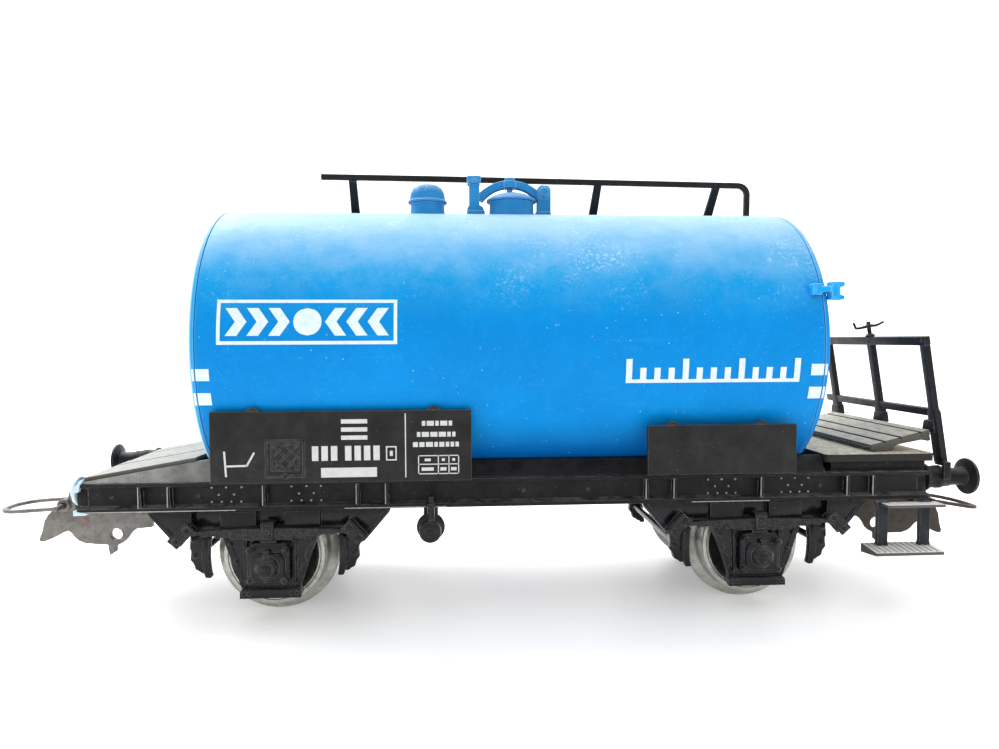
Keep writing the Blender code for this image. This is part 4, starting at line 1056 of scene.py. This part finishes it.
def axle_guard(end_name, side_name, x, side):
    """One guard plate with its legs, guides and tie bar, and the axle box with its cover and boss."""

    def slab(points, back, front, round_by, segments=2):
        return prism(points, "Y", side * back, side * front, round_by, segments)

    plate = symmetric([(5.05, 11.52), (5.05, 9.7), (3.0, 3.6), (3.1, 2.75)], x)
    plate += symmetric([(1.4, 11.52), (1.4, 9.95)], x, -1)
    shapes = [slab(plate, 10.5, 11.62, 0.07)]
    for way in (-1, 1):
        leg = [(5.0, 9.5), (4.4, 9.5), (2.4, 3.6), (2.98, 3.6)]
        shapes.append(slab(shifted(leg, x, way), 11.5, 11.76, 0.06))
        guide = [(2.25, 8.9), (2.75, 8.9), (2.6, 4.0), (2.25, 4.0)]
        shapes.append(slab(shifted(guide, x, way), 11.5, 12.1, 0.07))
        for z in (4.6, 6.4, 8.2):
            spot = (x + way * (2.95 + (z - 4.6) * 0.3), side * 11.74, z)
            shapes.append(dome(spot, (0, side, 0), 0.17, 0.12))
        for dx in (2.15, 2.7):
            shapes.append(dome((x + way * dx, side * 12.13, 3.1), (0, side, 0), 0.2, 0.16))
    shapes.append(box((x - 8.4, x + 8.4), (side * 10.52, side * 10.93), (9.12, 11.52), 0.06))
    tie = [(-3.1, 2.6), (3.1, 2.6), (3.08, 3.3), (2.85, 3.55), (-2.85, 3.55), (-3.08, 3.3)]
    shapes.append(slab(shifted(tie, x), 11.4, 12.15, 0.1, 3))
    case = [
        (-2.15, 4.5), (-1.7, 4.15), (1.7, 4.15), (2.15, 4.5), (2.2, 7.7), (1.7, 8.5), (-1.7, 8.5),
        (-2.2, 7.7),
    ]
    shapes.append(slab(shifted(case, x), 11.5, 12.85, 0.22, 3))
    cover = [
        (-1.7, 4.9), (-1.35, 4.6), (1.35, 4.6), (1.7, 4.9), (1.75, 6.9), (1.3, 7.55), (-1.3, 7.55),
        (-1.75, 6.9),
    ]
    shapes.append(slab(shifted(cover, x), 12.7, 13.35, 0.18, 3))
    boss = [
        (0, 13.2), (1.15, 13.2), (1.2, 13.4), (1.05, 13.72), (0.8, 13.86), (0.62, 13.8), (0.5, 13.95),
        (0.3, 14.06), (0, 14.08),
    ]
    shapes.append(turned(boss, (x, 0, 6.15), (0, side, 0), 28))
    shapes.append(bar((x, side * 13.35, 4.7), (x, side * 13.35, 7.9), 0.55, 0.5, ACROSS, 0.15))
    for way, z in ((-1, 7.95), (1, 7.7), (-1, 4.85), (1, 4.75)):
        screwed(
            shapes, (x + way * 1.72, side * 12.6, z), (0, side, 0), 0.85, 0.36, (0.8, 0.22, 0.2), 14, 0.12
        )
    shapes.append(box((x - 0.85, x + 0.85), (side * 11.6, side * 12.6), (8.3, 8.85), 0.12))
    name = f"{end_name}_{side_name}"
    piece(f"axle_box_{name}", shapes, GEAR, nodes=[f"axle_guard_{name}"])


def leaf_spring(end_name, side_name, x, side):
    """Bent leaves in a buckle, with a rimmed bracket and a double shackle on two pins at each end."""
    shapes = []
    y = side * 12.3
    for index, half in enumerate((8.55, 8.1, 6.6, 5.2, 3.8, 2.4)):
        top = 10.0 - index * 0.2
        path = []
        for step in range(-8, 9):
            along = half * step / 8
            path.append((x + along, y, top - 0.1 - 0.0042 * along**2))
        shapes.append(sweep(path, rounded(0.86, 0.19, 0.05, 2), UP))
    shapes.append(box((x - 0.68, x + 0.68), (side * 11.8, side * 13.0), (8.75, 10.72), 0.14, 3))
    shapes.append(box((x - 0.42, x + 0.42), (side * 12.8, side * 13.15), (9.05, 10.3), 0.1, 3))
    shapes.append(dome((x, side * 13.1, 9.7), (0, side, 0), 0.2, 0.12))
    for way in (-1, 1):
        bracket = [
            (7.95, 11.52), (12.25, 11.52), (12.2, 11.2), (9.75, 8.35), (9.35, 8.1), (8.25, 9.0),
            (7.95, 9.7),
        ]
        shapes.append(prism(shifted(bracket, x, way), "Y", side * 10.62, side * 11.45, 0.06))
        rim = [(12.3, 11.45), (11.85, 11.45), (9.2, 8.5), (9.5, 8.12)]
        shapes.append(prism(shifted(rim, x, way), "Y", side * 11.3, side * 11.62, 0.05))
        high = Vector((x + way * 7.8, side * 12.05, 10.3))
        low = Vector((x + way * 9.5, side * 12.05, 8.45))
        along = (high - low).normalized()
        for aside in (-0.5, 0.5):
            cheek = Vector((0, aside, 0))
            shapes.append(bar(low + cheek, high + cheek, 1.3, 0.3, ACROSS, 0.1))
        shapes.append(bar(low + along * 0.3, high - along * 0.3, 0.75, 1.35, ACROSS, 0.15))
        for share in (0.2, 0.8):
            foot = low.lerp(high, share) - Vector((0, side * 0.6, 0))
            screwed(shapes, foot, (0, side, 0), 1.38, 0.34, (1.36, 0.24, 0.16), 16, 0.1)
    name = f"{end_name}_{side_name}"
    piece(f"spring_{name}", shapes, GEAR, nodes=[f"leaf_spring_{name}"])


def brake_beam(place, end_name, axle_x, way):
    """A beam with a shoe, a holder and a hanger at each end; way points away from the axle."""
    shapes = []
    shoe = [
        (6.56, 8.42), (6.64, 7.9), (6.7, 7.3), (6.73, 6.4), (6.7, 5.6), (6.62, 4.8), (6.5, 4.25),
        (6.7, 4.16), (7.15, 4.18), (7.36, 4.8), (7.5, 5.5), (7.56, 6.4), (7.52, 7.3), (7.42, 8.0),
        (7.2, 8.5), (6.85, 8.62),
    ]
    holder = [
        (7.2, 8.2), (7.6, 8.75), (7.9, 8.95), (8.75, 8.85), (8.84, 7.2), (8.7, 7.0), (8.8, 6.0),
        (8.45, 5.6), (8.3, 5.0), (7.9, 4.8), (7.6, 4.55), (7.1, 4.6),
    ]
    x = axle_x + way * 7.75
    for side in (-1, 1):
        shapes.append(prism(shifted(shoe, axle_x, way), "Y", side * 9.25, side * 10.06, 0.1))
        shapes.append(prism(shifted(holder, axle_x, way), "Y", side * 8.65, side * 9.72, 0.12))
        low, high = (x - way * 0.1, side * 9.2, 7.4), (x - way * 0.45, side * 9.2, 11.5)
        shapes.append(bar(low, high, 0.72, 0.6, ACROSS, 0.15))
        for dx, z in ((8.35, 8.2), (8.3, 6.5)):
            foot = (axle_x + way * dx, side * 8.6, z)
            screwed(shapes, foot, (0, side, 0), 1.35, 0.3, (1.32, 0.2, 0.12))
    beam_x = axle_x + way * 8.0
    shapes.append(rod((beam_x, -9.3, 6.6), (beam_x, 9.3, 6.6), 0.4, 18))
    piece(f"brake_shoes_{place}_{end_name}", shapes, GEAR, nodes=[f"brake_{place}_{end_name}"])


# ---------------------------------------------------------------- fittings on the frame


def board_marks():
    """Generic marks on the near large board; bars are (x low, x high, z low, z high)."""
    bars = [(-17.75, -15.2, z, z + 0.42) for z in (19.25, 20.05, 20.85)]
    x = -20.6
    for index in range(7):
        if index == 3:
            x += 0.45
        bars.append((x, x + 0.62, 17.2, 18.65))
        x += 0.92
    bars += [(-13.4, -12.35, 17.15, 17.27), (-13.4, -12.35, 18.45, 18.57), (-13.4, -13.28, 17.27, 18.45)]
    bars += [(-12.47, -12.35, 17.27, 18.45), (-13.02, -12.73, 17.6, 18.1)]
    bars.append((-11.53, -11.42, 15.45, 21.8))
    for x0, x1, z in ((-9.85, -6.85, 20.55), (-10.35, -6.55, 19.45), (-10.75, -6.15, 18.45)):
        x = x0
        while x < x1 - 0.2:
            wide = draw.choice((0.34, 0.5, 0.7))
            bars.append((x, min(x + wide, x1), z, z + 0.48))
            x += wide + 0.14
    x0, x1, z0, z1 = -10.26, -6.2, 15.72, 17.62
    middle = (z0 + z1) / 2
    for z in (z0, middle, z1 - 0.1):
        bars.append((x0, x1, z, z + 0.1))
    for x in (x0, x0 + 1.95, x0 + 3.0, x1 - 0.1):
        bars.append((x, x + 0.1, z0, z1))
    for x, wide in ((x0 + 0.35, 1.2), (x0 + 2.2, 0.6), (x0 + 3.25, 0.55)):
        bars.append((x, x + wide, z0 + 0.35, z0 + 0.68))
        bars.append((x + wide * 0.25, x + wide * 0.75, middle + 0.35, middle + 0.62))
    shapes = [box((x0, x1), (-15.025, -14.98), (z0, z1), 0) for x0, x1, z0, z1 in bars]
    for ax, az, bx, bz in (
        (-29.02, 18.25, -28.88, 15.75),
        (-28.9, 16.78, -26.85, 16.82),
        (-26.9, 16.78, -26.15, 18.1),
    ):
        shapes.append(bar((ax, -BOARD_FACE, az), (bx, -BOARD_FACE, bz), 0.19, 0.05, ACROSS, 0.01))
    piece("board_marks", shapes, WHITE_ON_BLACK)
    shapes = [box((-19.74, -14.3), (-15.03, -14.98), (15.55, 16.5), 0)]
    piece("board_strip", shapes, WHITE_ON_BLACK)


def lattice(side):
    """The raised frame with crossed bars and a knob on a large board."""
    a, b = sorted((side * 25.1, side * 21.3))
    low, high = 15.62, 19.3
    shapes = []
    for x, z in (
        ((a, b), (high - 0.2, high)),
        ((a, b), (low, low + 0.2)),
        ((a, a + 0.2), (low, high)),
        ((b - 0.2, b), (low, high)),
    ):
        shapes.append(box(x, (side * 14.9, side * 15.13), z, 0.05))
    middle_x, middle_z = (a + b) / 2, (low + high) / 2 + 0.15

    def strip(ax, az, bx, bz, width, depth):
        shapes.append(bar(
            (ax, side * BOARD_FACE, az), (bx, side * BOARD_FACE, bz), width, depth, ACROSS, 0.03
        ))

    half = 1.22
    for aside in (-half, 0.0, half):
        for lean in (-1, 1):
            span = half - abs(aside) / 2
            x, z = middle_x + aside / 2, middle_z - lean * aside / 2
            strip(x - lean * span, z - span, x + lean * span, z + span, 0.15, 0.16)
    frame_corners = ((-1.3, -1.3), (1.3, -1.3), (1.3, 1.3), (-1.3, 1.3))
    for (ax, az), (bx, bz) in zip(frame_corners, frame_corners[1:] + frame_corners[:1]):
        strip(middle_x + ax, middle_z + az, middle_x + bx, middle_z + bz, 0.12, 0.12)
    shapes.append(dome((middle_x, side * BOARD_FACE, low + 0.1), (0, side, 0), 0.28, 0.22))
    return shapes


def board(kind, side_name, x, z, side, lugs):
    """A lettering board on two braced lugs; the large ones carry a lattice."""
    shapes = [box(x, (side * 14.5, side * BOARD_FACE), z, 0.05)]
    for lug in lugs:
        top = z[1] - 0.35
        shapes.append(rod((lug, side * 14.52, top), (lug, side * 14.94, top), 0.75, 28, 0.06))
        shapes.append(box((lug - 0.6, lug + 0.6), (side * 11.3, side * 14.6), (15.4, 16.1), 0.08))
        brace = [(14.55, 16.0), (14.55, 17.8), (13.9, 17.2), (12.6, 16.0)]
        shapes.append(prism(flipped(brace, side), "X", lug - 0.2, lug + 0.2, 0.05))
    if kind == "large":
        shapes += lattice(side)
    piece(f"board_plate_{kind}_{side_name}", shapes, BOARD, nodes=[f"board_{kind}_{side_name}"])


def boards():
    """The near boards, the same turned half round for the far side, and the near large board's marks."""
    for side_name, side in SIDES:
        for kind, x, z, lugs in (
            ("large", (-30.4, -4.95), (15.05, 22.1), (-26.3, -8.7)),
            ("small", (12.85, 28.3), (15.25, 20.3), (15.4, 24.7)),
        ):
            turn = -side
            board(
                kind, side_name, sorted((x[0] * turn, x[1] * turn)), z, side, [lug * turn for lug in lugs]
            )
    board_marks()


def buffers():
    """Three whole buffers and the stub of the broken one, whose torn end is uneven."""
    root = [(0, 45.0), (1.42, 45.0), (1.5, 45.08)]
    whole = root + [(1.5, 45.3), (1.4, 45.4), (1.24, 45.45), (1.2, 46.3), (1.26, 46.4), (1.26, 46.95)]
    whole += [
        (1.16, 47.1), (1.1, 47.9), (0.98, 48.1), (0.94, 49.5), (1.02, 49.75), (1.4, 49.95), (1.9, 50.05)
    ]
    whole += [
        (1.99, 50.12), (2.0, 50.25), (1.95, 50.38), (1.7, 50.5), (1.2, 50.65), (0.6, 50.74), (0, 50.77)
    ]
    stub = root + [(1.48, 45.25), (1.3, 45.35), (1.18, 45.6), (0.9, 45.5), (0.55, 45.68), (0, 45.55)]
    for name, way, side in (
        ("right_near", 1, -1),
        ("right_far", 1, 1),
        ("left_far", -1, 1),
        ("left_near_stub", -1, -1),
    ):
        centre = (0, side * 10.0, 13.65)
        if name.endswith("stub"):
            shape = turned(stub, centre, (way, 0, 0), 28)
            for vertex in shape.verts:
                if abs(vertex.co.x) > 45.3:
                    vertex.co.x += draw.uniform(-0.12, 0.12)
            piece("buffer_stub", [shape], PALE_BLUISH, nodes=[f"buffer_{name}"])
        else:
            shape = turned(whole, centre, (way, 0, 0), 56)
            piece(f"buffer_body_{name}", [shape], RAIL, nodes=[f"buffer_{name}"])


def corner_pale_patches():
    """Pale bluish patches where the near buffer and the corner of the headstock broke away."""
    top = [
        (-45.0, 13.7), (-44.45, 13.8), (-44.3, 14.5), (-43.95, 15.12), (-44.4, 14.98), (-44.72, 14.5),
        (-45.03, 14.15),
    ]
    low = [(-45.05, 11.4), (-43.8, 11.45), (-43.6, 11.62), (-44.4, 11.78), (-45.05, 11.95)]
    shapes = [prism(top, "Y", -11.3, -11.78, 0.07), prism(low, "Y", -11.0, -11.8, 0.07)]
    piece("corner_pale_patches", shapes, PALE_BLUISH)


def footsteps():
    """A double footstep on each side: two straps, a plain upper tread and a ribbed lower one."""
    for side_name, side in SIDES:
        shapes = []
        for x in (39.35, 44.05):
            half = [(0.55, 11.5), (0.8, 11.3), (0.62, 10.6), (0.58, 7.2), (0.68, 6.6), (0.66, 6.2)]
            shapes.append(prism(symmetric(half, x, -1), "Y", side * 11.68, side * 12.25, 0.1))
        treads = [box((39.1, 45.45), (side * 11.9, side * 13.58), (11.02, 11.34), 0.07)]
        tread = [(11.17, 6.75), (14.1, 6.46), (14.15, 6.38), (14.15, 6.12), (14.05, 6.06), (11.17, 5.76)]
        treads.append(prism(flipped(tread, side), "X", 37.52, 44.98, 0.07))
        for index in range(11):
            x = 38.0 + index * 0.64
            treads.append(bar((x, side * 11.35, 6.74), (x, side * 14.0, 6.47), 0.12, 0.12, ALONG, 0.03))
        # Pale tread tops: dust and painted sheen.
        piece(f"step_treads_{side_name}", treads, TREAD_DUST_AND_SHEEN)
        piece(f"step_straps_{side_name}", shapes, STEP, nodes=[f"step_right_{side_name}"])


def drain_valves():
    """A cock on each side with its cap, its pipe up to the frame and a stem behind."""
    for side_name, side in SIDES:
        body = [
            (0, 8.85), (0.95, 8.85), (1.0, 8.95), (1.0, 10.2), (1.4, 10.27), (1.48, 10.35), (1.5, 10.5),
            (1.48, 10.68), (1.35, 10.78), (0.9, 10.85), (0.82, 11.0), (0.82, 11.95), (0.95, 12.05),
            (1.1, 12.12), (1.15, 12.25), (1.15, 12.7), (1.08, 12.88), (0.9, 12.96), (0.6, 12.98),
            (0.42, 13.04), (0.38, 13.2), (0.28, 13.28), (0, 13.3),
        ]
        shapes = [turned(body, (-9.2, 0, 9.3), (0, side, 0), 36)]
        pipe = [(-9.1, side * 12.3, 9.3), (-9.1, side * 12.3, 11.0), (-9.1, side * 12.25, 12.9)]
        shapes.append(sweep(pipe, arc((0, 0), 0.36, 0, 337.5, 15), ACROSS))
        shapes.append(rod((-9.1, side * 12.28, 11.75), (-9.1, side * 12.28, 12.35), 0.54, 20, 0.12))
        shapes.append(dome((-9.1, side * 12.25, 12.85), UP, 0.3, 0.14))
        shapes.append(rod((-9.2, side * 9.6, 9.0), (-9.2, side * 9.6, 11.48), 0.78, 24))
        piece(f"drain_cock_{side_name}", shapes, GEAR, nodes=[f"drain_valve_{side_name}"])


# ---------------------------------------------------------------- couplings


def hook_plate(end_name, way, sag, steel):
    """The hook with its swivel arm and eye, the loop's barrel and the tab behind it."""
    hook = [
        (42.0, 7.25), (43.7, 7.12), (44.3, 6.75), (44.7, 6.25), (45.05, 5.75), (45.5, 5.42),
        (46.15, 5.15), (46.22, 4.45), (46.85, 4.02), (46.95, 4.3), (47.08, 5.28), (48.2, 5.35),
        (49.6, 5.5), (50.3, 5.8), (50.8, 6.25), (51.15, 6.75), (51.5, 7.0), (52.0, 6.85), (52.6, 6.5),
        (53.5, 6.08), (54.2, 5.8), (54.7, 5.82), (54.75, 6.2), (54.4, 7.1), (54.15, 8.2), (53.75, 8.9),
        (53.3, 9.35), (52.8, 9.6), (50.6, 9.75), (46.0, 9.9), (42.0, 9.95),
    ]
    hole = arc((way * 46.1, 6.5), 0.68, 0, 345, 23)
    shapes = [holed_plate(flipped(hook, way), hole, 0.36)]
    shapes.append(box((way * 39.1, way * 45.1), (-1.45, 1.45), (9.8, 10.4), 0.1))
    eye = [(0.66, 9.78), (1.5, 9.78), (1.6, 9.88), (1.6, 10.68), (1.5, 10.78), (0.66, 10.78)]
    shapes.append(turned(eye, (way * PIVOT_X, 0, 0), UP, 40, closed=True))
    barrel = [(0.38, -1.48), (0.66, -1.48), (0.74, -1.4), (0.74, 1.4), (0.66, 1.48), (0.38, 1.48)]
    shapes.append(turned(barrel, (way * HINGE_X, 0, HINGE_Z), ACROSS, 32, closed=True))
    tab = [(50.15, 9.5), (51.0, 9.5), (51.05, 11.0), (50.85, 11.75), (50.5, 11.88), (50.2, 11.7)]
    shapes.append(prism(flipped(tab, way), "Y", -1.15, 1.15, 0.1, 3))
    shapes = [moved(shape, sag) for shape in shapes]
    piece(f"coupling_hook_{end_name}", shapes, steel, f"hook_{end_name}", [f"coupling_{end_name}"])


def wire_loop(end_name, way, place, steel):
    """A flat wire with two rounded corners and its hinge bar."""
    half, reach, corner = 2.92, 6.63, 2.5
    path = [(-0.25, -half), (1.5, -half), (3.0, -half), (reach - corner, -half)]
    path += arc((reach - corner, -half + corner), corner, -90, 0, 7)[1:]
    path += arc((reach - corner, half - corner), corner, 0, 90, 7)
    path += [(3.0, half), (1.5, half), (-0.25, half)]
    shapes = [sweep([(way * x, y, 0) for x, y in path], rounded(0.54, 0.42, 0.15), UP)]
    shapes.append(rod((0, -half - 0.22, 0), (0, half + 0.22, 0), 0.29, 20, 0.08))
    shapes = [moved(shape, place) for shape in shapes]
    piece(f"loop_wire_{end_name}", shapes, steel, f"loop_{end_name}", [f"coupling_loop_{end_name}"])


def coupling(end_name, way, sag_deg, droop_deg, steel):
    """A hook plate that hangs down by sag_deg on its pin, with a loop that hangs down by droop_deg."""
    pivot = Vector((way * PIVOT_X, 0, HINGE_Z))
    sag = tilted(pivot, math.radians(way * sag_deg)) @ Matrix.Translation(-pivot)
    hook_plate(end_name, way, sag, steel)
    pin = [
        (0, 8.92), (0.85, 8.92), (1.0, 9.05), (1.0, 9.5), (0.9, 9.6), (0.54, 9.66), (0.54, 12.25),
        (0.45, 12.3), (0, 12.3),
    ]
    shape = turned(pin, (way * PIVOT_X, 0, 0), UP, 32)
    piece(f"pivot_pin_{end_name}", [shape], STEEL, FRAME, [f"coupling_pin_{end_name}"])
    hinge = sag @ Vector((way * HINGE_X, 0, HINGE_Z))
    wire_loop(end_name, way, tilted(hinge, math.radians(way * droop_deg)), steel)


def paint_smear():
    """A small reddish smear on the left hook plate."""
    outline = [
        (-49.75, 8.5), (-49.35, 8.62), (-49.1, 8.3), (-49.2, 7.9), (-49.4, 7.55), (-49.65, 7.7),
        (-49.6, 8.1),
    ]
    piece("paint_smear", [prism(outline, "Y", -0.355, -0.375, 0.005)], SMEAR, "hook_left")


def holed_plate(outline, hole, half):
    """A plate across Y with one hole; the outline and the hole are joined by triangles on each face."""
    flat = bmesh.new()
    edges = []
    for loop in (outline, hole):
        verts = [flat.verts.new((x, -half, z)) for x, z in loop]
        for index, vertex in enumerate(verts):
            edges.append(flat.edges.new((vertex, verts[(index + 1) % len(verts)])))
    bmesh.ops.triangle_fill(flat, use_beauty=True, edges=edges)
    return soften(extruded(flat, flat.faces[:], (0, 2 * half, 0)), 0.07)


# ---------------------------------------------------------------- assembly

tank_barrel()
for end_name, way in ENDS:
    tank_end(end_name, TANK_X[0] if way < 0 else TANK_X[1], way)
tank_markings()
valve_dome()
manhole()
lamp_bracket()
top_railing()
top_walkway()
ladder()
underframe()
cradle()
left_end()
right_floor()
brakeman_platform()
end_railing()
for end_name, way in ENDS:
    wheelset(end_name, way * AXLE_X)
    for side_name, side in SIDES:
        axle_guard(end_name, side_name, way * AXLE_X, side)
        leaf_spring(end_name, side_name, way * AXLE_X, side)
    brake_beam("outer", end_name, way * AXLE_X, way)
    brake_beam("inner", end_name, way * AXLE_X, -way)
boards()
buffers()
corner_pale_patches()
footsteps()
drain_valves()
coupling("left", -1, 0.0, 3.0, STEEL)
paint_smear()
# The right coupling takes the darker steel copy, which is painted shade.
coupling("right", 1, 5.0, 10.0, SHADED_STEEL)

# The hidden pieces keep their CAD shapes and only get a material.
for name, material in (("ballast_weight", IRON), ("tank_screw_left", STEEL), ("tank_screw_right", STEEL)):
    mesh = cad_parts[name].data
    mesh.materials.clear()
    mesh.materials.append(material)

# ---------------------------------------------------------------- table, light and camera


def table():
    """A white sheet that glows a little, because the photograph is overexposed there."""
    mesh = bpy.data.meshes.new("table_top")
    corners = [(TABLE_HALF_M * x, TABLE_HALF_M * y, 0) for x, y in ((-1, -1), (1, -1), (1, 1), (-1, 1))]
    mesh.from_pydata(corners, [], [(0, 1, 2, 3)])
    m = Maker("table_white")
    tone = m.ramp(m.noise(0.02, 4.0), 0.3, 0.7)
    colour = m.blend(tone, (0.90, 0.90, 0.895), (0.93, 0.93, 0.93))
    rough = m.ramp(m.noise(0.05, 4.0), 0.3, 0.7, 0.34, 0.44)
    grain = m.bump(m.noise(2.0, 3.0), 0.1, 0.02)
    mesh.materials.append(m.finish(colour, rough, grain, Emission_Strength=TABLE_GLOW))
    made = bpy.data.objects.new("table_top", mesh)
    bpy.context.scene.collection.objects.link(made)


def window():
    """A large window to the left of the wagon, above and behind it."""
    light = bpy.data.lights.new("window", "AREA")
    light.shape = "RECTANGLE"
    light.size = 0.5
    light.size_y = 0.4
    light.energy = WINDOW_WATTS
    made = bpy.data.objects.new("window", light)
    made.location = Vector((-0.34, 0.30, 0.56))
    made.rotation_mode = "QUATERNION"
    made.rotation_quaternion = (Vector((0, 0, 0.02)) - made.location).to_track_quat("-Z", "Y")
    bpy.context.scene.collection.objects.link(made)


def room():
    """White surroundings that grow brighter from the camera's side to behind the wagon."""
    world = bpy.data.worlds.new("room")
    bpy.context.scene.world = world
    world.use_nodes = True
    tree = world.node_tree
    background = tree.nodes["Background"]
    where = tree.nodes.new("ShaderNodeTexCoord")
    parts = tree.nodes.new("ShaderNodeSeparateXYZ")
    tree.links.new(where.outputs["Generated"], parts.inputs[0])
    depth = tree.nodes.new("ShaderNodeMapRange")
    depth.interpolation_type = "SMOOTHSTEP"
    levels = {"From Min": -0.5, "From Max": 0.35, "To Min": FRONT_LEVEL, "To Max": BACK_LEVEL}
    for socket, value in levels.items():
        depth.inputs[socket].default_value = value
    tree.links.new(parts.outputs["Y"], depth.inputs["Value"])
    tree.links.new(depth.outputs[0], background.inputs["Strength"])
    background.inputs["Color"].default_value = (1.0, 1.0, 1.0, 1.0)


def camera():
    """The photograph's view, from its yaw, pitch and roll."""
    yaw, pitch, roll = (math.radians(angle) for angle in CAMERA_TURN)
    forward = Vector((math.sin(yaw) * math.cos(pitch), math.cos(yaw) * math.cos(pitch), math.sin(pitch)))
    right = Vector((math.cos(yaw), -math.sin(yaw), 0))
    up = right.cross(forward)
    turned_right = right * math.cos(roll) + up * math.sin(roll)
    turned_up = up * math.cos(roll) - right * math.sin(roll)
    data = bpy.data.cameras.new("photo_view")
    data.sensor_width = SENSOR_MM
    data.lens = LENS_MM
    data.clip_start = 0.001
    data.clip_end = 20.0
    made = bpy.data.objects.new("photo_view", data)
    matrix = Matrix((turned_right, turned_up, -forward)).transposed().to_4x4()
    matrix.translation = Vector(CAMERA_PLACE) * MM
    made.matrix_world = matrix
    bpy.context.scene.collection.objects.link(made)
    bpy.context.scene.camera = made


table()
window()
room()
camera()
bpy.context.scene.view_settings.view_transform = "Standard"

bpy.context.view_layer.update()
